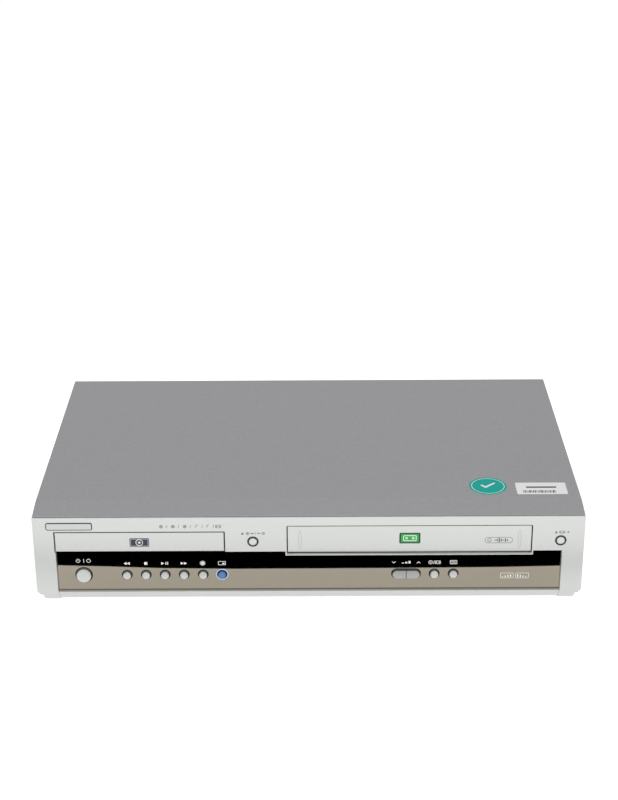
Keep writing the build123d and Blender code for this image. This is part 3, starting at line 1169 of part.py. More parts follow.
def lift_brackets():
    """The fixed side plates on the deck, each with slots along which the slider runs."""
    plates = []
    slot_r = GUIDE_PIN_R + PIN_ROOM
    for side in (-1, 1):
        wall = sorted((FLAP_X + side * BRACKET_IN, FLAP_X + side * BRACKET_OUT))
        back = HOLDER_FRONT + HOLDER_DEPTH + HOLDER_IN
        plate = block(wall, (DECK_FRONT + 6, back), (DECK_TOP, HOLDER_FLOOR + 26))
        cut = (wall[0] - 1, wall[1] + 1)
        for py, pz in slider_pins():
            plate -= block(cut, (py, py + HOLDER_IN), (pz - slot_r, pz + slot_r))
            plate -= crossways(cut, py, pz, slot_r)
            plate -= crossways(cut, py + HOLDER_IN, pz, slot_r)
        plates.append(plate)
    return group(plates)


# ------------------------------------------------------------------ boards
def main_board():
    """The big board under the tape deck, cut round the deck posts and the flywheel."""
    board = block((MAIN_LEFT, MAIN_RIGHT), (MAIN_FRONT, MAIN_BACK), (MAIN_Z, MAIN_TOP))
    through = (MAIN_Z - 1, MAIN_TOP + 1)
    cuts = [upright(x, y, through, STANDOFF_R + 2) for x, y in deck_post_places()]
    cuts.append(upright(CAPSTAN[0], CAPSTAN[1], through, FLYWHEEL_R + 2))
    return board - cuts


def main_board_parts():
    """Square chips and low capacitors that fit under the deck."""
    wide, deep = MAIN_RIGHT - MAIN_LEFT, MAIN_BACK - MAIN_FRONT
    parts = []
    for across, along in ((0.13, 0.2), (0.32, 0.4), (0.52, 0.2), (0.85, 0.2)):
        x, y = MAIN_LEFT + across * wide, MAIN_FRONT + along * deep
        parts.append(block((x - CHIP / 2, x + CHIP / 2), (y - CHIP / 2, y + CHIP / 2),
                           (MAIN_TOP, MAIN_TOP + CHIP_HEIGHT)))
    for k in range(3):
        x, y = MAIN_LEFT + 3 * CAPACITOR_R * (k + 1), MAIN_FRONT + 0.74 * deep
        parts.append(upright(x, y, (MAIN_TOP, MAIN_TOP + CAPACITOR_HEIGHT), CAPACITOR_R))
    return group(parts)


def power_board():
    """The supply board with its transformer, heat sink, filter coil and capacitors."""
    left, front = POWER_LEFT, MAIN_BACK - POWER_DEPTH
    board = block((left, left + POWER_WIDTH), (front, MAIN_BACK), (MAIN_Z, MAIN_TOP))
    z = MAIN_TOP

    def across(share):
        return left + share * POWER_WIDTH

    def along(share):
        return front + share * POWER_DEPTH

    core = block((across(0.36), across(0.59)), (along(0.18), along(0.82)), (z, z + CORE_HEIGHT))
    core += block((across(0.39), across(0.56)), (along(0.07), along(0.93)),
                  (z + 0.2 * CORE_HEIGHT, z + 0.8 * CORE_HEIGHT))
    storage = upright(across(0.25), along(0.35), (z, z + STORAGE_HEIGHT), STORAGE_R)
    storage = fillet(storage.edges().filter_by(GeomType.CIRCLE).sort_by(Axis.Z)[-1], 1)
    sink = block((across(0.64), across(0.66)), (along(0.07), along(0.93)), (z, z + SINK_HEIGHT))
    for k in range(SINK_FINS):
        start = along(0.07 + 0.82 * k / (SINK_FINS - 1))
        sink += block((across(0.64), across(0.72)), (start, start + 0.04 * POWER_DEPTH), (z, z + SINK_HEIGHT))
    coil = block((across(0.07), across(0.16)), (along(0.07), along(0.46)), (z, z + COIL_HEIGHT))
    outputs = [upright(across(0.8), along(0.17 + 0.22 * k), (z, z + OUTPUT_HEIGHT), OUTPUT_R)
               for k in range(OUTPUTS)]
    return group([board, core, storage, sink, coil] + outputs)


# ------------------------------------------------------------------ sockets behind
def scart_sockets():
    """Two 21-way sockets: a slanted groove for the plug's shell round a block of contact slots."""
    low, high = scart_z()
    sockets = []
    for x in scart_xs():
        body = block((x - SCART_WIDTH / 2, x + SCART_WIDTH / 2), (REAR_FACE - SCART_DEPTH, REAR_FACE + 1.5),
                     (low, high))
        middle = (low + high) / 2
        half, tall, g = SCART_SHELL / 2, SCART_SHELL_HEIGHT / 2, SCART_GROOVE
        ring = [(x - half, middle - tall), (x + half - SCART_SLANT, middle - tall),
                (x + half, middle + tall), (x - half, middle + tall)]
        core = [(x - half + g, middle - tall + g), (x + half - SCART_SLANT - g * 1.3, middle - tall + g),
                (x + half - g * 1.3, middle + tall - g), (x - half + g, middle + tall - g)]
        deep = (REAR_FACE - 8, REAR_FACE + 3)
        body -= from_front(ring, deep) - from_front(core, deep)
        for row in (-1, 1):
            for k in range(SCART_CONTACTS):
                sx = x - 16 + k * SCART_CONTACT_PITCH + (0 if row < 0 else 1.0)
                sz = middle + row * 2
                body -= block((sx - 0.35, sx + 0.35), (REAR_FACE - 6, REAR_FACE + 3), (sz - 1.0, sz + 1.0))
        sockets.append(body)
    return group(sockets)


def jack_block():
    """The black housing that the sound and picture jacks stand in."""
    half = JACK_PITCH * JACK_COLUMNS / 2 + 1
    top = JACK_LOW + JACK_PITCH * (JACK_ROWS - 1) + 8.5
    body = block((JACK_X - half, JACK_X + half), (REAR_Y - 12, REAR_Y), (MAIN_TOP, top))
    for x, z in jack_places():
        body += lengthways(x, (REAR_Y - 1, REAR_FACE + JACK_COLLAR), z, JACK_R + 0.9)
    bore = (REAR_Y - 9, REAR_FACE + 2)
    return body - [lengthways(x, bore, z, JACK_ROOT_R + SHANK_ROOM) for x, z in jack_places()]


def jack_barrels():
    """The plated barrels of the jacks, each with the hole for a plug's pin."""
    barrels = []
    for x, z in jack_places():
        barrel = lengthways(x, (REAR_FACE + JACK_COLLAR, REAR_FACE + JACK_LENGTH), z, JACK_R)
        barrel = chamfer(barrel.edges().filter_by(GeomType.CIRCLE).sort_by(Axis.Y)[-1], JACK_CHAMFER)
        barrel += lengthways(x, (REAR_Y - 9, REAR_FACE + JACK_COLLAR + 0.5), z, JACK_ROOT_R)
        barrels.append(barrel - lengthways(x, (REAR_FACE - 4, REAR_FACE + JACK_LENGTH + 1), z, JACK_BORE_R))
    return group(barrels)


def tuner_module():
    """The screened tuner, its aerial socket with a contact hole over its aerial plug with a centre pin."""
    x = (TUNER_X - TUNER_WIDTH / 2, TUNER_X + TUNER_WIDTH / 2)
    can = block(x, (REAR_Y - TUNER_DEPTH, REAR_Y), (MAIN_TOP, MAIN_TOP + TUNER_HEIGHT))
    low, high = aerial_zs()
    end = REAR_Y + AERIAL_LENGTH
    socket = lengthways(TUNER_X, (REAR_Y - 1, end), high, AERIAL_R + AERIAL_WALL)
    socket -= lengthways(TUNER_X, (end - AERIAL_LENGTH, end + 1), high, AERIAL_R)
    plug = lengthways(TUNER_X, (REAR_Y - 1, end), low, AERIAL_R)
    plug -= lengthways(TUNER_X, (end - AERIAL_LENGTH + 1, end + 1), low, AERIAL_R - AERIAL_WALL)
    pin = lengthways(TUNER_X, (REAR_Y - 1, end - 1), low, 1.2)
    return can + socket + plug + pin - lengthways(TUNER_X, (REAR_Y - 6, REAR_Y + 1), high, 1.3)


def signal_sockets():
    """A round four-pin video socket with a shuttered optical socket above it, on one bracket."""
    top = JACK_LOW + JACK_PITCH
    base = block((DIN_X - 8, DIN_X + 8), (REAR_Y - 12, REAR_Y), (MAIN_TOP, top + 7))
    base += lengthways(DIN_X, (REAR_Y - 1, REAR_FACE + 0.6), JACK_LOW, DIN_R + 1.2)
    base -= lengthways(DIN_X, (REAR_Y - 6, REAR_FACE + 2), JACK_LOW, DIN_R)
    for px, pz in ((-1.7, 1.4), (1.7, 1.4), (-3.0, -1.2), (3.0, -1.2)):
        base += lengthways(DIN_X + px, (REAR_Y - 7, REAR_FACE - 0.8), JACK_LOW + pz, 0.4)
    base += block((DIN_X - 5, DIN_X + 5), (REAR_Y - 1, REAR_FACE + 0.6), (top - 5, top + 5))
    return base - block((DIN_X - 3, DIN_X + 3), (REAR_Y - 4, REAR_FACE + 2), (top - 3, top + 3))


def mains_inlet():
    """A figure-eight appliance inlet with two pins, its foot on the supply board."""
    x, z = INLET_X, INLET_Z
    body = block((x - INLET_WIDTH / 2, x + INLET_WIDTH / 2), (REAR_FACE - INLET_DEPTH, REAR_FACE + 0.8),
                 (z - INLET_HEIGHT / 2, z + INLET_HEIGHT / 2))
    body += block((x - INLET_WIDTH / 2, x + INLET_WIDTH / 2), (REAR_FACE - INLET_DEPTH, REAR_Y - 2),
                  (MAIN_TOP, z))
    deep = (REAR_FACE - 12, REAR_FACE + 3)
    for side in (-1, 1):
        body -= lengthways(x + side * INLET_PIN_PITCH / 2, deep, z, INLET_HOLE_R)
    body -= block((x - INLET_PIN_PITCH / 2, x + INLET_PIN_PITCH / 2), deep, (z - 3.4, z + 3.4))
    for side in (-1, 1):
        body += lengthways(x + side * INLET_PIN_PITCH / 2, (deep[0] - 1, REAR_FACE - 2), z, INLET_PIN_R)
    return body


# ------------------------------------------------------------------ every piece
save("top_cover", top_cover())
save("bottom_pan", bottom_pan())
save("rear_panel", rear_panel())
save("rubber_feet", rubber_feet())
save("case_screws", case_screws())
save("front_bezel", front_bezel())
save("window_strip", window_strip())
save("key_board", key_board())
save("key_switches", key_switches())
save("display_glass", display_glass())
for name, x, z, radius, upper in ROUND_KEYS:
    save(name, round_key(x, z, radius, upper))
for name, side in ROCKER_KEYS:
    save(name, rocker_key(side))
save("disc_tray", disc_tray())
save("tray_door", tray_door())
save("tray_gear", tray_gear())
save("loader_frame", loader_frame())
save("loader_motor", loader_motor())
save("driver_gear", driver_gear())
save("clamp_bridge", clamp_bridge())
save("disc_clamp", disc_clamp())
save("traverse_base", traverse_base())
save("sled_rails", sled_rails())
save("lead_screw", lead_screw())
save("pickup_sled", pickup_sled())
save("turntable", turntable())
save("cassette_flap", cassette_flap())
save("deck_plate", deck_plate())
for name, place in zip(("supply_reel", "takeup_reel"), reel_places()):
    save(name, reel_table(place))
save("lower_drum", lower_drum())
save("head_drum", head_drum())
save("capstan", capstan())
save("pinch_arm", pinch_arm())
save("pinch_roller", pinch_roller())
save("supply_guide", tape_guide(-1))
save("takeup_guide", tape_guide(1))
save("tape_heads", tape_heads())
save("cassette_holder", cassette_holder())
save("lift_slider", lift_slider())
save("lift_brackets", lift_brackets())
save("main_board", main_board())
save("main_board_parts", main_board_parts())
save("power_board", power_board())
save("scart_sockets", scart_sockets())
save("jack_block", jack_block())
save("jack_barrels", jack_barrels())
save("tuner_module", tuner_module())
save("signal_sockets", signal_sockets())
save("mains_inlet", mains_inlet())

os.makedirs("parts", exist_ok=True)
for name, shape in NODES.items():
    export_step(shape, f"parts/{name}.step")
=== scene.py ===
import json
import math

import bmesh
import bpy
from mathutils import Matrix, Vector


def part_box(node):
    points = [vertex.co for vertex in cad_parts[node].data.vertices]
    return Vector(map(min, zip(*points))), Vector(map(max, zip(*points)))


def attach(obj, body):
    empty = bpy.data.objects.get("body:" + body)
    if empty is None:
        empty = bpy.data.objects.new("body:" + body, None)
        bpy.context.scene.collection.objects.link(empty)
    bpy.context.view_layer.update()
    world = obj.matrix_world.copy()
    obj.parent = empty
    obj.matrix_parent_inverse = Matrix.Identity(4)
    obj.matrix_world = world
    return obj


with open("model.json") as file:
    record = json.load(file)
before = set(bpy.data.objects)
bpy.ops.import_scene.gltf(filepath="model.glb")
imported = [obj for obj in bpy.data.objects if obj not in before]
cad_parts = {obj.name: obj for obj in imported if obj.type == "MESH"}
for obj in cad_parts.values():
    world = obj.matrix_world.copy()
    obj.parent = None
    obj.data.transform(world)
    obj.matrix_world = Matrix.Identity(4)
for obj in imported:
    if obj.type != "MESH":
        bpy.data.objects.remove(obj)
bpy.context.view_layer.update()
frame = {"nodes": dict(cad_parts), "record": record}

# Lengths are in millimetres until place() turns them into metres. X runs to the right, Y from the front's
# face backwards and Z up from the floor, as in the part's source.
MM = 0.001
FACE_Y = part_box("front_bezel")[0].y


def place(x, y, z):
    return Vector((x * MM, FACE_Y + y * MM, z * MM))


def middle(node):
    """The middle of a CAD node, across and up, in millimetres."""
    low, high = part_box(node)
    return (low.x + high.x) / 2 / MM, (low.z + high.z) / 2 / MM


def spread(node):
    """Left, right, low and top of a CAD node, in millimetres."""
    low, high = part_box(node)
    return low.x / MM, high.x / MM, low.z / MM, high.z / MM


def depth(node, corner):
    """Where a CAD node begins (corner 0) or ends (corner 1) behind the front's face."""
    return (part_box(node)[corner].y - FACE_Y) / MM


# ---------------------------------------------------------------- how a material is made
def linear(code):
    """An sRGB hex colour as linear red, green, blue and alpha."""
    parts = [int(code[k:k + 2], 16) / 255 for k in (1, 3, 5)]
    return [c / 12.92 if c <= 0.04045 else ((c + 0.055) / 1.055) ** 2.4 for c in parts] + [1.0]


def node(tree, kind, inputs=None, **settings):
    """Adds one node, gives it its settings, and fills or links its inputs by name or number."""
    made = tree.nodes.new(kind)
    for key, value in settings.items():
        setattr(made, key, value)
    for key, value in (inputs or {}).items():
        if isinstance(value, bpy.types.NodeSocket):
            tree.links.new(value, made.inputs[key])
        else:
            made.inputs[key].default_value = value
    return made


def reckon(tree, operation, first, second=0.0):
    """The outlet of one Math node. Either side is a number or another outlet."""
    return node(tree, "ShaderNodeMath", {0: first, 1: second}, operation=operation).outputs[0]


def material(name, colour, roughness, **inputs):
    """A material with one Principled shader. Extra inputs are named with underscores for spaces."""
    made = bpy.data.materials.new(name)
    made.use_nodes = True
    shader = made.node_tree.nodes["Principled BSDF"]
    shader.inputs["Base Color"].default_value = linear(colour)
    shader.inputs["Roughness"].default_value = roughness
    for key, value in inputs.items():
        shader.inputs[key.replace("_", " ")].default_value = value
    return made


def parts_of(made):
    tree = made.node_tree
    return tree, tree.nodes["Principled BSDF"]


def object_place(tree):
    """The point's own place, in metres."""
    return node(tree, "ShaderNodeTexCoord").outputs["Object"]


def noise(made, grain, detail=2.0, stretch=(1.0, 1.0, 1.0)):
    """Noise on Object coordinates whose grains are the given millimetres long."""
    tree, _ = parts_of(made)
    mapping = node(tree, "ShaderNodeMapping", {"Vector": object_place(tree), "Scale": stretch})
    return node(tree, "ShaderNodeTexNoise", {"Vector": mapping.outputs["Vector"], "Scale": 1 / (grain * MM),
                                             "Detail": detail})


def roughen(made, grain, height, detail=2.0, stretch=(1.0, 1.0, 1.0)):
    """A bump of the given grain length and height, both in millimetres."""
    tree, shader = parts_of(made)
    bump = node(tree, "ShaderNodeBump", {"Height": noise(made, grain, detail, stretch).outputs["Fac"],
                                         "Distance": height * MM, "Strength": 1.0})
    tree.links.new(bump.outputs["Normal"], shader.inputs["Normal"])


def mottle(made, grain, low, high, detail=2.0):
    """Colour that wanders between two hex values over the given grain length."""
    tree, shader = parts_of(made)
    ramp = node(tree, "ShaderNodeValToRGB", {"Fac": noise(made, grain, detail).outputs["Fac"]})
    for end, position, colour in zip(ramp.color_ramp.elements, (0.35, 0.65), (low, high)):
        end.position = position
        end.color = linear(colour)
    tree.links.new(ramp.outputs["Color"], shader.inputs["Base Color"])


# ---------------------------------------------------------------- materials of the player's own pieces
# Sheet steel with a baked satin paint: an even grey whose fine orange peel softens every reflection.
cover_paint = material("satin_grey_baked_paint", "#919194", 0.42, Specular_IOR_Level=0.35)
mottle(cover_paint, 3.0, "#8F8F91", "#939396", detail=4.0)
roughen(cover_paint, 0.9, 0.012)

# Zinc-plated sheet steel, cut and folded: cool grey with soft cloudy patches and faint rolling lines.
zinc_steel = material("zinc_plated_sheet_steel", "#B4B6B8", 0.38, Metallic=1.0)
mottle(zinc_steel, 9.0, "#B1B3B5", "#B9BBBD", detail=3.0)
roughen(zinc_steel, 0.6, 0.004, stretch=(1.0, 0.08, 1.0))

# Moulded ABS with a silver lacquer: pale, part metallic, its aluminium flakes drawn coarser to show.
silver_lacquer = material("silver_lacquered_abs", "#C8CAC7", 0.36, Metallic=0.25, Coat_Weight=0.15,
                          Coat_Roughness=0.2)
mottle(silver_lacquer, 0.5, "#C5C7C4", "#CBCDCA", detail=3.0)
roughen(silver_lacquer, 0.4, 0.002)

# Bronze half-mirror coat behind clear acrylic: it returns over a quarter of the light, warm and sharp.
half_mirror = material("bronze_half_mirror_acrylic", "#908A7D", 0.035, Metallic=1.0)
roughen(half_mirror, 60.0, 0.05, detail=1.0)

# Chrome-look moulded ABS of the round keys: bright silver with a crisp highlight.
key_silver = material("bright_silver_abs", "#C6C7C5", 0.24, Metallic=0.55, Coat_Weight=0.4,
                      Coat_Roughness=0.1)
roughen(key_silver, 0.5, 0.002)

# The same ABS on the channel keys, a shade darker and softer than the round ones.
rocker_silver = material("satin_silver_abs", "#A9ABA9", 0.28, Metallic=0.6, Coat_Weight=0.3,
                         Coat_Roughness=0.12)
roughen(rocker_silver, 0.5, 0.002)

# Translucent blue polycarbonate of the view key: deep and glossy, a little cloudy.
key_blue = material("blue_polycarbonate", "#466A9E", 0.18, Coat_Weight=0.5, Coat_Roughness=0.08)
mottle(key_blue, 2.5, "#3E6296", "#5478AC")

# Moulded black ABS with a fine spark-eroded grain, as inside the slots and behind the sockets.
black_abs = material("grained_black_abs", "#1B1B1D", 0.5)
roughen(black_abs, 0.5, 0.01)

# Glass-filled grey nylon of the disc mechanism: dull, with a slightly clouded tone.
grey_nylon = material("glass_filled_grey_nylon", "#515458", 0.55)
mottle(grey_nylon, 4.0, "#4C4F53", "#565A5E")

# Natural acetal of the gears and reels: ivory, waxy, a little light let through.
ivory_acetal = material("natural_ivory_acetal", "#DEDCD2", 0.35, Subsurface_Weight=0.1,
                        Subsurface_Scale=0.002)
mottle(ivory_acetal, 6.0, "#DAD8CE", "#E2E0D6")

# Moulded chips and sleeved capacitors: matt near-black.
moulded_black = material("moulded_black_epoxy", "#232326", 0.42)
mottle(moulded_black, 5.0, "#1F1F22", "#28282B")

# Smoked glass of the fluorescent display, dark and glossy while it is off.
dark_glass = material("dark_display_glass", "#10191A", 0.06)
mottle(dark_glass, 12.0, "#0E1617", "#131E1F")

# Nickel plating over turned brass or pressed steel: bright and slightly warm.
nickel = material("bright_nickel_plating", "#C9C8C4", 0.18, Metallic=1.0)
roughen(nickel, 0.7, 0.003)

# Aluminium turned on a lathe: fine rings that spread the highlight.
turned_aluminium = material("turned_aluminium", "#D2D4D6", 0.24, Metallic=1.0)
roughen(turned_aluminium, 0.5, 0.004, stretch=(0.1, 0.1, 1.0))

# Moulded neoprene of the feet and the roller: black and dry.
neoprene = material("moulded_black_neoprene", "#1A1A1A", 0.75)
roughen(neoprene, 0.6, 0.02)

# Turned brass of the lead screw and the socket's contact blades: yellow and bright.
turned_brass = material("turned_brass", "#C9A45C", 0.25, Metallic=1.0)
roughen(turned_brass, 0.5, 0.004)

TRACK_PITCH = 16.0  # spacing of the circuit board's lighter lanes
BOARD_GREEN = "#1D5A33"


def green_board():
    """Epoxy glass under green solder mask, its tracks seen as slightly lighter lanes."""
    made = material("green_solder_mask", BOARD_GREEN, 0.3, Coat_Weight=0.3)
    tree, shader = parts_of(made)
    lanes = node(tree, "ShaderNodeTexBrick", {"Vector": object_place(tree), "Color1": linear("#23683B"),
                                              "Color2": linear("#1B5630"), "Mortar": linear("#17492A"),
                                              "Scale": 1 / (TRACK_PITCH * MM), "Mortar Size": 0.03})
    tree.links.new(lanes.outputs["Color"], shader.inputs["Base Color"])
    return made


def supply_board():
    """The supply board, green up to its upper face, and its near-black parts above it."""
    made = material("supply_board_and_parts", "#232326", 0.4)
    tree, shader = parts_of(made)
    split = node(tree, "ShaderNodeSeparateXYZ", {"Vector": object_place(tree)})
    just_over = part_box("main_board")[1].z + 0.05 * MM
    over = reckon(tree, "GREATER_THAN", split.outputs["Z"], just_over)
    mixed = node(tree, "ShaderNodeMix", {"Factor": over, 6: linear(BOARD_GREEN),
                                         7: linear("#2A2A2E")}, data_type="RGBA")
    tree.links.new(mixed.outputs[2], shader.inputs["Base Color"])
    return made


solder_mask = green_board()
supply_parts = supply_board()

# Screen-printed inks: flat and dry on what carries them.
white_ink = material("white_screen_ink", "#E6E4DE", 0.5)
dark_ink = material("dark_grey_screen_ink", "#333435", 0.5)
# Painted shade of a shallow groove in the lacquer, only a little darker than it.
groove_painted_shade = material("painted_shade_grey_groove", "#A4A6A3", 0.5)
# Flat black on the walls of the openings and on the door's and flap's edges: painted shade, so the narrow
# gaps read black.
painted_shade_black = material("black_painted_shade_lining", "#0B0B0C", 0.9, Specular_IOR_Level=0.05)
# Printed badge films: smooth, with a soft sheen.
navy_film = material("navy_printed_badge_film", "#252B3C", 0.3)
green_film = material("green_printed_badge_film", "#1E9A48", 0.3)
black_film = material("black_badge_film", "#16181A", 0.3)
# Sticker papers: matt, with an even colour.
teal_paper = material("teal_matt_sticker_paper", "#2CA79C", 0.7, Specular_IOR_Level=0.03)
white_paper = material("white_label_paper", "#E9E9E8", 0.6)
# Chromed foil of the bare nameplate: a blurred silver.
chrome_foil = material("chromed_nameplate_foil", "#BEC0BF", 0.3, Metallic=0.6)
# Clear acrylic ring round the view key: pale blue, with a faint painted glow.
pale_ring_painted_glow = material("pale_blue_ring_painted_glow", "#BDD3F4", 0.3, Emission_Color=linear("#9CC0F6"),
                            Emission_Strength=0.25)
# Dyed plastic inserts of the jacks: plain glossy colours.
yellow_plastic = material("yellow_moulded_insert", "#D9B82A", 0.4)
white_plastic = material("white_moulded_insert", "#DEDEDA", 0.4)
red_plastic = material("red_moulded_insert", "#B3262A", 0.4)
for made in (white_ink, dark_ink, groove_painted_shade, navy_film, green_film, black_film, teal_paper, white_paper,
             chrome_foil, pale_ring_painted_glow, yellow_plastic, white_plastic, red_plastic):
    roughen(made, 0.5, 0.002)

FINISH = {
    "cover_paint": cover_paint, "bare_steel": zinc_steel, "bezel_plastic": silver_lacquer,
    "window_plastic": half_mirror, "key_plastic": key_silver, "blue_key": key_blue,
    "black_plastic": black_abs, "grey_plastic": grey_nylon, "white_plastic": ivory_acetal,
    "board_green": solder_mask, "parts_black": moulded_black, "display_glass": dark_glass,
    "plated_steel": nickel, "drum_metal": turned_aluminium, "rubber": neoprene, "brass": turned_brass,
}
OWN_FINISH = {"power_board": supply_parts, "channel_down_key": rocker_silver, "channel_up_key": rocker_silver}
for part in frame["record"]["subparts"]:
    name = part["node"]
    mesh = frame["nodes"][name].data
    mesh.materials.clear()
    mesh.materials.append(OWN_FINISH.get(name) or FINISH[part["material_slot"]])


# ---------------------------------------------------------------- outlines
def round_outline(x, z, radius, count=32, start=0.0, end=360.0):
    """Points of a circle, or of a part of one when its end is less than a turn away."""
    whole = end - start >= 360.0
    steps = count if whole else count - 1
    angles = [math.radians(start + (end - start) * k / steps) for k in range(count)]
    return [(x + radius * math.cos(a), z + radius * math.sin(a)) for a in angles]


def bar(x0, x1, z0, z1):
    return [(x0, z0), (x1, z0), (x1, z1), (x0, z1)]


def rounded_bar(x0, x1, z0, z1, radius):
    corners = ((x1 - radius, z0 + radius, -90), (x1 - radius, z1 - radius, 0), (x0 + radius, z1 - radius, 90),
               (x0 + radius, z0 + radius, 180))
    return [p for x, z, start in corners for p in round_outline(x, z, radius, 5, start, start + 90)]


def ring(x, z, radius, line, count=32):
    return round_outline(x, z, radius, count), round_outline(x, z, radius - line, count)


def box_band(x0, x1, z0, z1, radius, line):
    return (rounded_bar(x0, x1, z0, z1, radius),
            rounded_bar(x0 + line, x1 - line, z0 + line, z1 - line, max(radius - line, 0.05)))


def arrow(x, z, length, height, way):
    """A solid arrowhead pointing right (way 1) or left (way -1)."""
    foot, tip = x - way * length / 2, x + way * length / 2
    return [(foot, z - height / 2), (tip, z), (foot, z + height / 2)]


def chevron(x, z, width, height, line, way):
    """An open angle pointing up (way 1) or down (way -1)."""
    tip, foot = z + way * height / 2, z - way * height / 2
    return [(x - width / 2, foot), (x, tip), (x + width / 2, foot), (x + width / 2 - line, foot),
            (x, tip - way * line * 1.1), (x - width / 2 + line, foot)]


def slash(x, z, half, line):
    """A stroke that leans to the right, as between two signs."""
    lean = 0.5
    return [(x - lean, z - half), (x - lean + line, z - half), (x + lean, z + half),
            (x + lean - line, z + half)]


def cassette_sign(x, z, width, height, line):
    """A tape seen flat: a round-cornered frame with two hubs."""
    bands = [box_band(x - width / 2, x + width / 2, z - height / 2, z + height / 2, height / 5, line)]
    bands += [ring(x + side * width / 4, z, height / 5, line, 16) for side in (-1, 1)]
    return bands


def disc_sign(x, z, radius, line):
    """A disc seen flat: its rim and its hub."""
    return [ring(x, z, radius, line, 28), ring(x, z, radius * 0.36, line * 0.8, 16)]


# ---------------------------------------------------------------- how a flat piece is made
def keep(name, mesh, finish, body):
    """Makes a mesh a piece that rides on a body."""
    mesh.name = name
    mesh.materials.clear()
    mesh.materials.append(finish)
    piece = bpy.data.objects.new(name, mesh)
    bpy.context.scene.collection.objects.link(piece)
    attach(piece, body)
    return piece


def on_front(x, z, y):
    return place(x, y, z)


def on_top(x, y, z):
    return place(x, y, z)


def prism(bm, outline, near, far, turn):
    """A solid with a flat outline between two levels. turn gives a point its place from outline and level."""
    ends = [[bm.verts.new(turn(a, b, level)) for a, b in outline] for level in (near, far)]
    bm.faces.new(ends[0])
    bm.faces.new(ends[1][::-1])
    for k in range(len(outline)):
        nxt = (k + 1) % len(outline)
        bm.faces.new((ends[0][k], ends[1][k], ends[1][nxt], ends[0][nxt]))


def frame_band(bm, outer, inner, near, far, turn):
    """A flat closed band between two outlines with the same number of points."""
    rings = [[bm.verts.new(turn(a, b, level)) for a, b in outline]
             for level in (near, far) for outline in (outer, inner)]
    for k in range(len(outer)):
        nxt = (k + 1) % len(outer)
        for a, b in ((0, 1), (1, 3), (3, 2), (2, 0)):
            bm.faces.new((rings[a][k], rings[a][nxt], rings[b][nxt], rings[b][k]))


def print_piece(name, solids, bands, levels, finish, body, turn=on_front):
    """One flat piece of ink, film or foil out of closed outlines and open bands, between two levels."""
    bm = bmesh.new()
    for outline in solids:
        prism(bm, outline, *levels, turn)
    for outer, inner in bands:
        frame_band(bm, outer, inner, *levels, turn)
    bmesh.ops.recalc_face_normals(bm, faces=bm.faces[:])
    mesh = bpy.data.meshes.new(name)
    bm.to_mesh(mesh)
    bm.free()
    return keep(name, mesh, finish, body)


FILM = 0.06  # how far one layer of ink or film stands proud
SUNK = 0.02  # how far it reaches into what carries it
STRIP_FACE = depth("window_strip", 0)
DOOR_FACE = depth("tray_door", 0)
FLAP_FACE = depth("cassette_flap", 0)
REAR_FACE = depth("rear_panel", 1)
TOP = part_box("top_cover")[1].z / MM
PAPER = (TOP - SUNK, TOP + 0.05)
PAPER_INK = (TOP + 0.03, TOP + 0.08)


def layer(face, number=1):
    """The levels of a layer of film on a face that looks forwards, the first one lowest."""
    return (face - number * FILM, face - (number - 1) * FILM + SUNK)


def rear_layer(number=1):
    """The same on the rear panel, which looks backwards."""
    return (REAR_FACE + (number - 1) * FILM - SUNK, REAR_FACE + number * FILM)


# ---------------------------------------------------------------- Geometry Nodes for what repeats
def new_tree(name, sockets):
    """A Geometry Nodes tree with named inputs. Gives the tree and its inputs' outlets."""
    tree = bpy.data.node_groups.new(name, "GeometryNodeTree")
    for label, kind in (("Geometry", "Geometry"), *sockets, ("Finish", "Material")):
        tree.interface.new_socket(label, in_out="INPUT", socket_type="NodeSocket" + kind)
    tree.interface.new_socket("Geometry", in_out="OUTPUT", socket_type="NodeSocketGeometry")
    return tree, node(tree, "NodeGroupInput").outputs


def finish_tree(tree, given, shape, turn=(0.0, 0.0, 0.0)):
    """Sets a shape on every point, makes the copies real and gives them their material."""
    set_out = node(tree, "GeometryNodeInstanceOnPoints", {"Points": given["Geometry"], "Instance": shape,
                                                          "Rotation": turn})
    solid = node(tree, "GeometryNodeRealizeInstances", {"Geometry": set_out.outputs["Instances"]})
    painted = node(tree, "GeometryNodeSetMaterial", {"Geometry": solid.outputs["Geometry"],
                                                     "Material": given["Finish"]})
    node(tree, "NodeGroupOutput", {"Geometry": painted.outputs["Geometry"]})
    return tree


def ring_tree():
    """Sets a round-wired ring, standing across Y, on every point of a mesh."""
    tree, given = new_tree("trim_rings", (("Ring radius", "Float"), ("Wire radius", "Float")))
    path = node(tree, "GeometryNodeCurvePrimitiveCircle", {"Resolution": 48, "Radius": given["Ring radius"]})
    wire = node(tree, "GeometryNodeCurvePrimitiveCircle", {"Resolution": 8, "Radius": given["Wire radius"]})
    swept = node(tree, "GeometryNodeCurveToMesh", {"Curve": path.outputs["Curve"],
                                                   "Profile Curve": wire.outputs["Curve"]})
    smooth = node(tree, "GeometryNodeSetShadeSmooth", {"Geometry": swept.outputs["Mesh"]})
    return finish_tree(tree, given, smooth.outputs[0], (math.radians(90), 0.0, 0.0))


def blade_tree():
    """Sets a small flat blade on every point of a mesh."""
    tree, given = new_tree("contact_blades", (("Size", "Vector"),))
    cube = node(tree, "GeometryNodeMeshCube", {"Size": given["Size"]})
    return finish_tree(tree, given, cube.outputs["Mesh"])


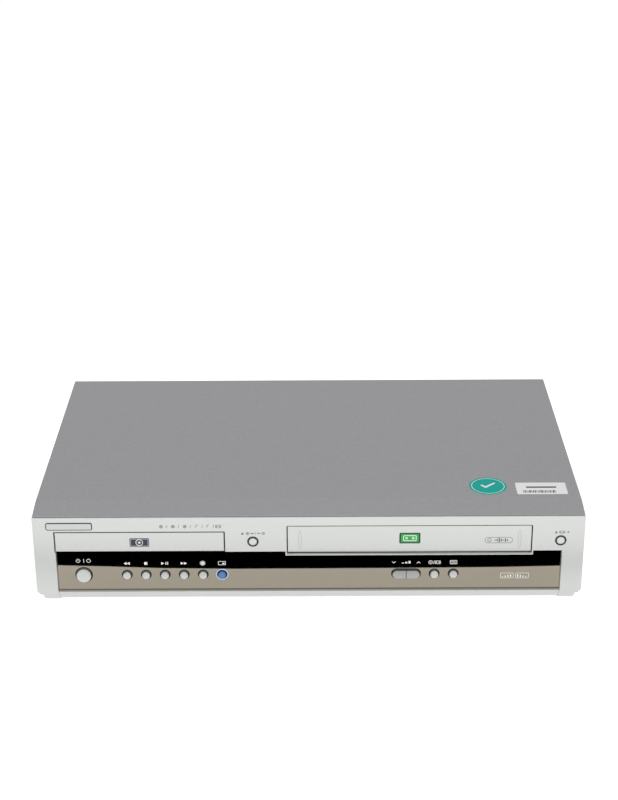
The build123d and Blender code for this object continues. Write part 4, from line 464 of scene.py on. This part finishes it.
def repeat(name, tree, points, values, finish, body):
    """Runs a tree on points given in millimetres and keeps the result as a plain mesh on one body."""
    mesh = bpy.data.meshes.new(name + "_points")
    mesh.from_pydata([place(*p) for p in points], [], [])
    holder = bpy.data.objects.new(name + "_points", mesh)
    bpy.context.scene.collection.objects.link(holder)
    modifier = holder.modifiers.new("repeat", "NODES")
    modifier.node_group = tree
    idents = {item.name: item.identifier for item in tree.interface.items_tree if item.in_out == "INPUT"}
    for key, value in {**values, "Finish": finish}.items():
        modifier[idents[key]] = value
    bpy.context.view_layer.update()
    result = bpy.data.meshes.new_from_object(holder.evaluated_get(bpy.context.evaluated_depsgraph_get()))
    bpy.data.objects.remove(holder)
    return keep(name, result, finish, body)


RINGS = ring_tree()
BLADES = blade_tree()


def set_rings(name, points, radius, wire, finish):
    """Round-wired rings of one size, fixed to the case."""
    values = {"Ring radius": radius * MM, "Wire radius": wire * MM}
    return repeat(name, RINGS, points, values, finish, "case")


# ---------------------------------------------------------------- painted shade and glow round the keys
# Wire and reach of the dark rings of painted shade that stand in the gaps round the keys.
SHADE_RING_WIRE = 0.45  # wire of the dark trims
SHADE_RING_PAST_HOLE = 0.1
KEY_HOLE = 3.75
EJECT_SHADE_RING = 4.05
STANDBY_HOLE = 6.4
SMALL_KEYS = ["rewind_key", "stop_key", "play_key", "forward_key", "record_key", "view_key", "source_key",
              "scan_key"]
STANDBY_X, KEY_Z = middle("standby_key")
VIEW_X = middle("view_key")[0]
DOWN_X, UP_X = middle("channel_down_key")[0], middle("channel_up_key")[0]
ROCKER_X = (DOWN_X + UP_X) / 2
ROCKER_HALF = (11.8, 4.4)  # half the width and height of the channel keys' trim
ROCKER_LINE = 0.6


def key_shade_rings():
    # Dark rings of black ABS round the round keys: painted shade of the gaps round them.
    rows = {"key_shade_rings": (SMALL_KEYS, STRIP_FACE, KEY_HOLE + SHADE_RING_PAST_HOLE),
            "standby_shade_ring": (["standby_key"], STRIP_FACE, STANDBY_HOLE + SHADE_RING_PAST_HOLE),
            "eject_shade_rings": (["disc_eject_key", "tape_eject_key"], 0.0, EJECT_SHADE_RING)}
    for name, (keys, face, radius) in rows.items():
        points = [(middle(key)[0], face, middle(key)[1]) for key in keys]
        set_rings(name, points, radius, SHADE_RING_WIRE, black_abs)
    # A pale blue ring with a faint painted glow round the view key.
    set_rings("view_ring_painted_glow", [(VIEW_X, STRIP_FACE - 0.1, KEY_Z)], KEY_HOLE + 0.75, 0.34, pale_ring_painted_glow)
    # A dark band of painted shade round the channel keys.
    wide, high = ROCKER_HALF
    band = box_band(ROCKER_X - wide, ROCKER_X + wide, KEY_Z - high, KEY_Z + high, high - 0.05, ROCKER_LINE)
    print_piece("rocker_shade_band", [], [band], (STRIP_FACE - 0.3, STRIP_FACE + 0.05), black_abs, "case")


key_shade_rings()

# ---------------------------------------------------------------- white signs on the window strip
SIGN_Z = 33.3  # floor to the row of white signs
SIGN = 2.6  # height of an arrow
ARROW = 2.4  # length of an arrow
STROKE = 0.4
STANDBY_Z = 35.9
STANDBY_R = 1.7


def standby_signs():
    """A ring open at the top with a bar in it, an upright bar and a ring."""
    left, z = STANDBY_X - 4.0, STANDBY_Z
    outside = round_outline(left, z, STANDBY_R, 20, 120, 420)
    inside = round_outline(left, z, STANDBY_R - STROKE, 20, 120, 420)
    solids = [outside + inside[::-1], bar(left - STROKE / 2, left + STROKE / 2, z - 0.1, z + 2.0),
              bar(STANDBY_X + 0.2, STANDBY_X + 0.2 + STROKE, z - STANDBY_R, z + STANDBY_R)]
    return solids, [ring(STANDBY_X + 4.2, z, STANDBY_R, STROKE, 24)]


def tape_run_signs():
    """Backwards, stop, play and pause, forwards, and record, each over its key."""
    rewind, stop, play, forward, record = [middle(key)[0] for key in SMALL_KEYS[:5]]
    solids = [arrow(rewind + side * 1.25, SIGN_Z, ARROW, SIGN, -1) for side in (-1, 1)]
    solids.append(bar(stop - 1.2, stop + 1.2, SIGN_Z - 1.2, SIGN_Z + 1.2))
    solids.append(arrow(play - 1.6, SIGN_Z, ARROW, SIGN, 1))
    solids += [bar(play + start, play + start + 0.7, SIGN_Z - 1.25, SIGN_Z + 1.25) for start in (0.5, 1.9)]
    solids += [arrow(forward + side * 1.25, SIGN_Z, ARROW, SIGN, 1) for side in (-1, 1)]
    solids.append(round_outline(record - 0.2, SIGN_Z, 1.3, 24))
    return solids, [ring(record - 0.2, SIGN_Z, 2.1, 0.35, 24)]


def picture_signs():
    """A picture within a picture, the channel arrows with three steps, disc or tape, and a lined picture."""
    source, scan = middle("source_key")[0], middle("scan_key")[0]
    solids = [bar(VIEW_X + 0.3, VIEW_X + 2.1, SIGN_Z - 0.9, SIGN_Z + 0.3),
              chevron(DOWN_X - 3.4, SIGN_Z, 3.4, 1.5, 0.7, -1), chevron(UP_X + 3.4, SIGN_Z, 3.4, 1.5, 0.7, 1)]
    for k in range(3):
        x = ROCKER_X + 2.6 * (k - 1)
        solids.append(bar(x - 0.8, x + 0.8, SIGN_Z - 0.9, SIGN_Z - 0.9 + 0.7 * (k + 1)))
    solids.append(slash(source - 0.4, SIGN_Z, 1.6, STROKE))
    for low in (SIGN_Z - 0.9, SIGN_Z - 0.15, SIGN_Z + 0.6):
        solids.append(bar(scan - 1.9, scan + 1.9, low, low + 0.25))
    bands = [box_band(VIEW_X - 3.0, VIEW_X + 3.0, SIGN_Z - 1.7, SIGN_Z + 1.7, 0.5, STROKE)]
    bands += disc_sign(source - 3.0, SIGN_Z, 1.7, STROKE)
    bands += cassette_sign(source + 2.6, SIGN_Z, 4.6, 2.8, STROKE)
    bands.append(box_band(scan - 2.8, scan + 2.8, SIGN_Z - 1.7, SIGN_Z + 1.7, 0.4, STROKE))
    return solids, bands


def strip_signs():
    solids, bands = [], []
    for group in (standby_signs(), tape_run_signs(), picture_signs()):
        solids += group[0]
        bands += group[1]
    print_piece("strip_signs", solids, bands, layer(STRIP_FACE), white_ink, "case")


MARK_LEFT = (151.0, 163.0)
MARK_WIDTH, MARK_HEIGHT, MARK_LOW = 10.5, 4.8, 18.7


def strip_marks():
    """Two small outlined marks at the strip's right end, one with rising and one with falling bars."""
    solids, bands = [], []
    for left, heights in zip(MARK_LEFT, ((0, 1, 2, 3), (3, 2, 1, 0))):
        bands.append(box_band(left, left + MARK_WIDTH, MARK_LOW, MARK_LOW + MARK_HEIGHT, 0.6, 0.35))
        for k, height in enumerate(heights):
            x = left + 1.9 + 2.1 * k
            solids.append(bar(x - 0.45, x + 0.45, MARK_LOW + 1.0, MARK_LOW + 1.8 + 0.55 * height))
    print_piece("strip_marks", solids, bands, layer(STRIP_FACE), white_ink, "case")


strip_signs()
strip_marks()

# ---------------------------------------------------------------- dark signs on the silver front
SIGN_RISE = 7.2  # an upper key's middle to the small signs over it
HAIR = 0.3  # line of the small signs
HEAD = 1.0  # length of a small arrowhead
STEM = 0.14  # half the thickness of a small arrow's stem
LIST_X, LIST_Z, LIST_PITCH = -114.6, 67.6, 9.2  # the row of disc kinds over the tray


def eject_sign(x, z):
    """A triangle over a bar."""
    return [[(x - 1.0, z - 0.3), (x + 1.0, z - 0.3), (x, z + 1.0)], bar(x - 1.0, x + 1.0, z - 1.0, z - 0.65)]


def long_arrow(start, tip, z):
    """A thin arrow with a stem, pointing from start to tip."""
    way = 1 if tip > start else -1
    neck = tip - way * HEAD
    return [bar(min(start, neck), max(start, neck), z - STEM, z + STEM),
            arrow(tip - way * HEAD / 2, z, HEAD, 1.6, way)]


def note_sign(x, z):
    """A flag on a short staff, for sound files."""
    return [(x - 0.9, z - 1.3), (x - 0.6, z - 1.3), (x - 0.6, z + 0.9), (x + 0.9, z + 1.3),
            (x + 0.9, z + 1.6), (x - 0.9, z + 1.2)]


def front_signs():
    x, key_z = middle("disc_eject_key")
    z = key_z + SIGN_RISE
    solids = eject_sign(x - 8.1, z) + long_arrow(x - 2.5, x + 0.6, z)
    solids += [slash(x + 2.2, z, 1.1, HAIR)] + long_arrow(x + 6.5, x + 3.6, z)
    bands = disc_sign(x - 4.2, z, 1.2, HAIR) + disc_sign(x + 8.2, z, 1.2, HAIR)
    x, key_z = middle("tape_eject_key")
    z = key_z + SIGN_RISE
    solids += eject_sign(x - 3.9, z) + long_arrow(x + 3.5, x + 6.4, z)
    bands += cassette_sign(x + 0.6, z, 4.2, 2.2, HAIR)
    for k in range(3):
        bands += disc_sign(LIST_X + LIST_PITCH * k, LIST_Z, 1.35, 0.42)
        solids.append(slash(LIST_X + 4.3 + LIST_PITCH * k, LIST_Z, 1.4, HAIR))
    for x in (-86.8, -78.2):
        solids += [note_sign(x, LIST_Z), slash(x + 4.3, LIST_Z, 1.4, HAIR)]
    bands += cassette_sign(-70.2, LIST_Z, 4.4, 2.6, 0.32)
    print_piece("front_signs", solids, bands, layer(0.0), dark_ink, "case")


front_signs()

# ---------------------------------------------------------------- painted shade in the shut lines
# Black strips of painted shade on the walls of both openings, and on the door's and flap's edges behind
# their rounded front, so that each narrow gap reads as one crisp black line.
SHADE_STRIP = 0.12
SHUT_LINE = 0.9
OPENING_DEPTH = (0.12, 2.5)  # where the lining of an opening begins and ends behind the front's face
DOOR_DEPTH = (0.55, 2.7)
FLAP_DEPTH = (0.8, 2.4)
FASCIA_LOW = 45.2  # floor to the silver fascia's lower edge
FLAP_TOP = 67.8
PIN_END = 2.6  # how far the flap's pins reach past its sides


def shade_strips(name, box, levels, body, turned_out):
    """Thin strips of painted shade on the left, right and top of an opening (turned in) or of a panel (turned
    out).
    """
    left, right, low, top = box
    way = SHADE_STRIP if turned_out else -SHADE_STRIP
    strips = [bar(*sorted((left - way, left)), low, top), bar(*sorted((right, right + way)), low, top),
              bar(left, right, *sorted((top, top + way)))]
    print_piece(name, strips, [], levels, painted_shade_black, body)


def shut_lines():
    left, right, low, top = spread("tray_door")
    hole = (left - SHUT_LINE, right + SHUT_LINE, FASCIA_LOW + 0.1, top + SHUT_LINE)
    shade_strips("tray_opening_painted_shade", hole, OPENING_DEPTH, "case", False)
    shade_strips("tray_door_painted_shade", (left, right, low + 0.6, top), DOOR_DEPTH, "tray", True)
    left, right, low, _ = spread("cassette_flap")
    left, right = left + PIN_END, right - PIN_END
    hole = (left - SHUT_LINE, right + SHUT_LINE, low + 1.6, FLAP_TOP)
    shade_strips("tape_opening_painted_shade", hole, OPENING_DEPTH, "case", False)
    shade_strips("flap_painted_shade", (left, right, low + 4.0, FLAP_TOP - SHUT_LINE), FLAP_DEPTH, "flap", True)


shut_lines()

# ---------------------------------------------------------------- nameplate and badges
NAMEPLATE = (-204.5, -168.2, 64.8, 71.2)
DISC_BADGE = (-139.7, -124.5, 49.9, 57.5)
TAPE_BADGE = (70.8, 87.2, 51.6, 61.0)


def shrunk(box, side, end):
    """The same box with a rim taken off its sides and another off its lower and upper ends."""
    return (box[0] + side, box[1] - side, box[2] + end, box[3] - end)


def centre(box):
    return (box[0] + box[1]) / 2, (box[2] + box[3]) / 2


def nameplate():
    """A bare foil plate with a dark edge."""
    edge = rounded_bar(*NAMEPLATE, 1.6)
    print_piece("nameplate_edge", [edge], [], (-0.35, 0.05), black_film, "case")
    plate = rounded_bar(*shrunk(NAMEPLATE, 0.7, 0.7), 1.0)
    print_piece("nameplate", [plate], [], (-0.55, -0.2), chrome_foil, "case")


def disc_badge():
    """A navy film on the tray's door with a disc in a thin frame."""
    x, z = centre(DISC_BADGE)
    film = rounded_bar(*DISC_BADGE, 0.8)
    print_piece("disc_badge", [film], [], layer(DOOR_FACE), navy_film, "tray")
    bands = disc_sign(x, z, 2.9, 0.5) + [box_band(*shrunk(DISC_BADGE, 0.7, 0.6), 0.5, 0.22)]
    hub = round_outline(x, z, 0.8, 16)
    print_piece("disc_badge_sign", [hub], bands, layer(DOOR_FACE, 2), white_ink, "tray")


def tape_badge():
    """A green film with a black rim on the flap, and a tape on it."""
    x, z = centre(TAPE_BADGE)
    rim = rounded_bar(*TAPE_BADGE, 1.0)
    print_piece("tape_badge", [rim], [], layer(FLAP_FACE), black_film, "flap")
    field = rounded_bar(*shrunk(TAPE_BADGE, 1.2, 1.0), 0.6)
    print_piece("tape_badge_field", [field], [], layer(FLAP_FACE, 2), green_film, "flap")
    tape = cassette_sign(x, z, 10.4, 5.0, 0.55)
    print_piece("tape_badge_sign", [], tape, layer(FLAP_FACE, 3), white_ink, "flap")


nameplate()
disc_badge()
tape_badge()

# ---------------------------------------------------------------- marks on the flap
GRIP_X, GRIP_Z = (-6.7, 164.6), 55.2
SOUND_MARK = (137.5, 159.2, 51.6, 56.8)
SOUND_BARS = (0.5, 1.1, 1.9, 1.2, 0.5, 1.5, 0.8)  # half heights of the sound wave's bars


def lens_outline(x, z, width, height):
    """A thin upright lens shape."""
    angles = [math.radians(a) for a in range(-90, 90, 12)]
    bulge = [(width / 2 * math.cos(a), height / 2 * math.sin(a)) for a in angles]
    return [(x + a, z + b) for a, b in bulge] + [(x - a, z - b) for a, b in bulge]


def flap_marks():
    """The painted shade of a shallow lens-shaped groove near each end, and a sound wave in a long rounded
    frame.
    """
    grips = [(lens_outline(x, GRIP_Z, 2.6, 16.0), lens_outline(x, GRIP_Z, 1.9, 15.0)) for x in GRIP_X]
    print_piece("flap_grip_painted_shade", [], grips, layer(FLAP_FACE), groove_painted_shade, "flap")
    left, z = SOUND_MARK[0], centre(SOUND_MARK)[1]
    wave = [bar(left + 7.6 + 1.6 * k, left + 8.4 + 1.6 * k, z - half, z + half)
            for k, half in enumerate(SOUND_BARS)]
    bands = [box_band(*SOUND_MARK, 2.4, HAIR), ring(left + 3.6, z, 1.5, 0.35, 20)]
    print_piece("flap_sound_sign", wave, bands, layer(FLAP_FACE), dark_ink, "flap")


flap_marks()

# ---------------------------------------------------------------- stickers on the cover
STICKER_X, STICKER_Y, STICKER_R = 143.0, 43.0, 15.0
TICK = [(-6.0, 1.0), (-2.2, -3.6), (6.4, 4.4), (5.2, 5.8), (-2.0, -0.6), (-4.8, 2.3)]
LABEL = (165.0, 205.0, 28.4, 48.4)
CODE_LINES = (1, 2, 1, 1, 3, 1, 2, 2, 1, 1, 2, 3, 1, 2, 1, 1, 2, 1, 3, 1)  # widths, in thin lines
CODE_THIN, CODE_GAP = 0.45, 0.6


def round_sticker():
    """A teal disc of paper with a thin ring and a tick."""
    disc = round_outline(STICKER_X, STICKER_Y, STICKER_R, 64)
    print_piece("round_sticker", [disc], [], PAPER, teal_paper, "case", on_top)
    print_piece("sticker_tick", [[(STICKER_X + a, STICKER_Y + b) for a, b in TICK]],
                [ring(STICKER_X, STICKER_Y, STICKER_R - 1.8, 0.5, 64)], PAPER_INK, white_paper, "case",
                on_top)


def white_label():
    """A white label with a row of thin and thick lines and one broad bar over it."""
    left, right, front, _ = LABEL
    paper = rounded_bar(*LABEL, 1.0)
    print_piece("white_label", [paper], [], PAPER, white_paper, "case", on_top)
    bars, x = [], left + 5
    for count in CODE_LINES:
        bars.append(bar(x, x + CODE_THIN * count, front + 2.5, front + 6.5))
        x += CODE_THIN * count + CODE_GAP
    bars.append(bar(left + 8, right - 8, front + 10.8, front + 13.2))
    print_piece("label_bars", bars, [], PAPER_INK, dark_ink, "case", on_top)


round_sticker()
white_label()

# ---------------------------------------------------------------- sockets behind
JACK_R = 4.15
SCART_WIDTH = 47.0
BLADE_SIZE = (0.4, 5.0, 1.4)
BLADE_PITCH = 3.4
BLADE_COUNT = 10  # in each of a socket's two rows
left, right, low, top = spread("jack_barrels")
JACK_COLUMNS = [left + JACK_R, (left + right) / 2, right - JACK_R]
JACK_ROWS = [low + JACK_R, top - JACK_R]
SCART = spread("scart_sockets")
SCART_COLUMNS = [SCART[0] + SCART_WIDTH / 2, SCART[1] - SCART_WIDTH / 2]


def jack_rings():
    """Yellow, white and red rings round the jacks, one colour to a column."""
    for x, finish, name in zip(JACK_COLUMNS, (yellow_plastic, white_plastic, red_plastic),
                               ("yellow", "white", "red")):
        points = [(x, REAR_FACE + 0.8, z) for z in JACK_ROWS]
        set_rings(name + "_jack_rings", points, JACK_R + 0.5, 0.42, finish)


def scart_contacts():
    """Two staggered rows of blades in each 21-way socket."""
    z = (SCART[2] + SCART[3]) / 2
    points = [(x - 16 + k * BLADE_PITCH + shift, REAR_FACE - 3, z + row)
              for x in SCART_COLUMNS for row, shift in ((-2, 0.0), (2, 1.0)) for k in range(BLADE_COUNT)]
    values = {"Size": tuple(a * MM for a in BLADE_SIZE)}
    repeat("scart_contacts", BLADES, points, values, turned_brass, "case")


jack_rings()
scart_contacts()

# ---------------------------------------------------------------- prints on the rear panel
# Frames and pictograms show what goes in or out, without words.
FRAME_LINE = 0.4
FRAME_R = 1.5
AERIAL_LOW, AERIAL_PITCH = 28.0, 24.0
WAVE_Z = 38.6  # floor to the alternating-current sign over the mains inlet


def jack_prints():
    """A frame round the jacks, a line between its rows and an arrow with a bar beside each row."""
    left, right = JACK_COLUMNS[0] - 9.0, JACK_COLUMNS[2] + 9.0
    z = (JACK_ROWS[0] + JACK_ROWS[1]) / 2
    solids = [bar(left + 0.2, right - 0.2, z - 0.15, z + 0.15)]
    for z, way in zip(JACK_ROWS, (-1, 1)):
        stop = right + 3.2 - 2.6 * way
        solids += [arrow(right + 3.2, z, 3.0, 2.6, way), bar(stop - 1.4, stop + 1.4, z - 0.25, z + 0.25)]
    return solids, [box_band(left, right, JACK_ROWS[0] - 8.4, JACK_ROWS[1] + 8.4, FRAME_R, FRAME_LINE)]


def scart_prints():
    """A frame round each 21-way socket with a screen on a foot over it."""
    solids, bands = [], []
    half = SCART_WIDTH / 2 + 2.2
    low, top = SCART[2], SCART[3]
    for x in SCART_COLUMNS:
        bands.append(box_band(x - half, x + half, low - 2.0, top + 2.0, FRAME_R, FRAME_LINE))
        bands.append(box_band(x - 3.4, x + 3.4, top + 4.2, top + 8.6, 0.8, 0.45))
        solids.append(bar(x - 1.8, x + 1.8, top + 3.0, top + 3.5))
    return solids, bands


def aerial_prints():
    """An aerial and an arrow beside each aerial socket."""
    x, solids = middle("tuner_module")[0], []
    for z, way in ((AERIAL_LOW, 1), (AERIAL_LOW + AERIAL_PITCH, -1)):
        solids += [bar(x - 11.2, x - 10.8, z - 3.0, z + 1.2),
                   [(x - 11.0, z + 0.4), (x - 8.8, z + 3.2), (x - 13.2, z + 3.2)],
                   arrow(x - 16.2, z, 3.0, 2.4, way)]
    return solids, []


def mains_print():
    """A wave over the mains inlet."""
    x = middle("mains_inlet")[0]
    upper = [(x - 3.0 + k / 2, WAVE_Z + math.sin(math.radians(30 * k))) for k in range(13)]
    lower = [(x + 3.0 - k / 2, WAVE_Z - 0.5 - math.sin(math.radians(30 * k))) for k in range(13)]
    return [upper + lower], []


def panel_prints():
    solids, bands = [], []
    for group in (jack_prints(), scart_prints(), aerial_prints(), mains_print()):
        solids += group[0]
        bands += group[1]
    print_piece("panel_prints", solids, bands, rear_layer(), dark_ink, "case")


PLATE = (62.0, 128.0, 50.0, 66.0)
PLATE_LINES = (34, 27, 31, 22, 29, 18)
LINE_PITCH = 2.1


def rating_plate():
    """A rating plate without words: rows of bars, a row of thin lines and the two-squares sign."""
    left, right, low, top = PLATE
    plate = rounded_bar(*PLATE, 1.0)
    print_piece("rating_plate", [plate], [], rear_layer(), white_paper, "case")
    solids = [bar(left + 3, left + 3 + length, top - 3.2 - LINE_PITCH * k, top - 2.5 - LINE_PITCH * k)
              for k, length in enumerate(PLATE_LINES)]
    for k in range(18):
        x = right - 20 + 0.9 * k
        solids.append(bar(x, x + (0.55 if k % 3 == 0 else 0.3), low + 2.5, low + 7))
    squares = [box_band(right - 12 - half, right - 12 + half, top - 5 - half, top - 5 + half, 0.1, 0.3)
               for half in (2.4, 1.3)]
    print_piece("rating_plate_print", solids, squares, rear_layer(2), dark_ink, "case")


panel_prints()
rating_plate()

# ---------------------------------------------------------------- white studio
AMBIENT = 0.38  # how much the white surroundings light the player
FLOOR_GLOW = 0.64  # what the floor adds to its lit paint to read white
FLOOR_REACH = 6000.0
# The floor's glow stops over a patch the size of the player's footprint, a painted shadow under it.
PAINTED_SHADOW_PATCH = (("X", 205.0), ("Y", 118.0))  # half the size of the patch under the player, from its middle
PAINTED_SHADOW_EDGE = 8.0  # the glow grows over this last stretch


def seen_only(tree, strength):
    """The strength where the camera, a reflection or clear glass sees it, and 0 where it only lights."""
    rays = node(tree, "ShaderNodeLightPath").outputs
    seen = reckon(tree, "MAXIMUM", rays["Is Camera Ray"], rays["Is Glossy Ray"])
    seen = reckon(tree, "MAXIMUM", seen, rays["Is Transmission Ray"])
    return reckon(tree, "MULTIPLY", seen, strength)


def white_world():
    """White where it is seen, and dimmer where it lights."""
    world = bpy.data.worlds.new("white_studio")
    bpy.context.scene.world = world
    world.use_nodes = True
    sky = world.node_tree
    light = reckon(sky, "ADD", seen_only(sky, 1.0 - AMBIENT), AMBIENT)
    sky.links.new(light, sky.nodes["Background"].inputs["Strength"])
    sky.nodes["Background"].inputs["Color"].default_value = (1.0, 1.0, 1.0, 1.0)


def floor_paint():
    """Matt pale paint whose glow stops under the player: a painted shadow, a darker patch the size of its
    footprint.
    """
    made = material("pale_studio_floor", "#EDEDED", 0.9, Specular_IOR_Level=0.0)
    tree, shader = parts_of(made)
    shader.inputs["Emission Color"].default_value = (1.0, 1.0, 1.0, 1.0)
    split = node(tree, "ShaderNodeSeparateXYZ", {"Vector": object_place(tree)})
    past = [reckon(tree, "SUBTRACT", reckon(tree, "ABSOLUTE", split.outputs[axis]), reach * MM)
            for axis, reach in PAINTED_SHADOW_PATCH]
    outside = reckon(tree, "MAXIMUM", *past)
    glow = node(tree, "ShaderNodeMapRange", {"Value": outside, "From Min": -PAINTED_SHADOW_EDGE * MM, "From Max": 0.0,
                                             "To Min": 0.0, "To Max": FLOOR_GLOW})
    tree.links.new(seen_only(tree, glow.outputs[0]), shader.inputs["Emission Strength"])
    return made


def studio_surface(name, points, faces, finish):
    """A plain surface of the studio from points in millimetres."""
    mesh = bpy.data.meshes.new(name)
    mesh.from_pydata([place(*p) for p in points], [], faces)
    mesh.materials.append(finish)
    surface = bpy.data.objects.new(name, mesh)
    bpy.context.scene.collection.objects.link(surface)
    return surface


# The upper edge of a low black card that lies out of view before the front, from left to right as X and Y. It
# darkens the upper part of the mirror strip.
CARD_HIGH = 17.0
CARD_LINE = [(-700, -69), (-210, -53.4), (-165, -50.9), (-120, -47.7), (-60, -46.2), (60, -46.5),
             (120, -47.0), (160, -47.6), (215, -49.5), (700, -58)]


def black_card():
    """The card that only the mirror strip and other glossy faces see."""
    finish = material("black_studio_card", "#050505", 0.9, Specular_IOR_Level=0.0)
    points = [(x, y, z) for x, y in CARD_LINE for z in (0, CARD_HIGH)]
    faces = [(2 * k, 2 * k + 2, 2 * k + 3, 2 * k + 1) for k in range(len(CARD_LINE) - 1)]
    card = studio_surface("black_card", points, faces, finish)
    card.visible_camera = False
    card.visible_diffuse = False
    card.visible_transmission = False
    card.visible_shadow = False
    return card


def softbox(name, x, y, z, wide, tall, power, aim=(0.0, 100.0, 40.0)):
    """A large soft lamp turned to a point, in millimetres and watts."""
    lamp = bpy.data.lights.new(name, "AREA")
    lamp.shape = "RECTANGLE"
    lamp.size, lamp.size_y = wide * MM, tall * MM
    lamp.energy = power
    holder = bpy.data.objects.new(name, lamp)
    bpy.context.scene.collection.objects.link(holder)
    holder.location = place(x, y, z)
    holder.rotation_euler = (place(*aim) - holder.location).to_track_quat("-Z", "Y").to_euler()
    holder.visible_glossy = False


white_world()
floor_corners = [(a * FLOOR_REACH, b * FLOOR_REACH, -0.05) for a, b in ((-1, -1), (1, -1), (1, 1), (-1, 1))]
floor = studio_surface("studio_floor", floor_corners, [(0, 1, 2, 3)], floor_paint())
card = black_card()
softbox("rear_softbox", 0, 1300, 1500, 1800, 1100, 9.0)
softbox("front_softbox", 0, -1800, 1080, 1800, 1000, 34.0)

# ---------------------------------------------------------------- camera
CAMERA_PLACE = (6.12, -1138.6, 680.39)
PITCH, YAW, ROLL = 0.41793, 0.00446, 0.00635  # radians: down, to the left and tilted
SENSOR, FOCAL_LENGTH = 36.0, 74.70


def studio_camera():
    """The camera that took the photograph, as solved from the front's and the cover's corners."""
    turned = Matrix.Rotation(YAW, 3, "Z")
    forward = turned @ Vector((0, math.cos(PITCH), -math.sin(PITCH)))
    up = turned @ Vector((0, math.sin(PITCH), math.cos(PITCH)))
    right = turned @ Vector((1, 0, 0))
    level_right = math.cos(ROLL) * right - math.sin(ROLL) * up
    level_up = math.sin(ROLL) * right + math.cos(ROLL) * up
    optics = bpy.data.cameras.new("studio_camera")
    optics.sensor_width = SENSOR
    optics.lens = FOCAL_LENGTH
    camera = bpy.data.objects.new("studio_camera", optics)
    bpy.context.scene.collection.objects.link(camera)
    turn = Matrix((level_right, level_up, -forward)).transposed().to_4x4()
    camera.matrix_world = Matrix.Translation(place(*CAMERA_PLACE)) @ turn
    return camera


bpy.context.scene.camera = studio_camera()
bpy.context.scene.view_settings.view_transform = "Standard"
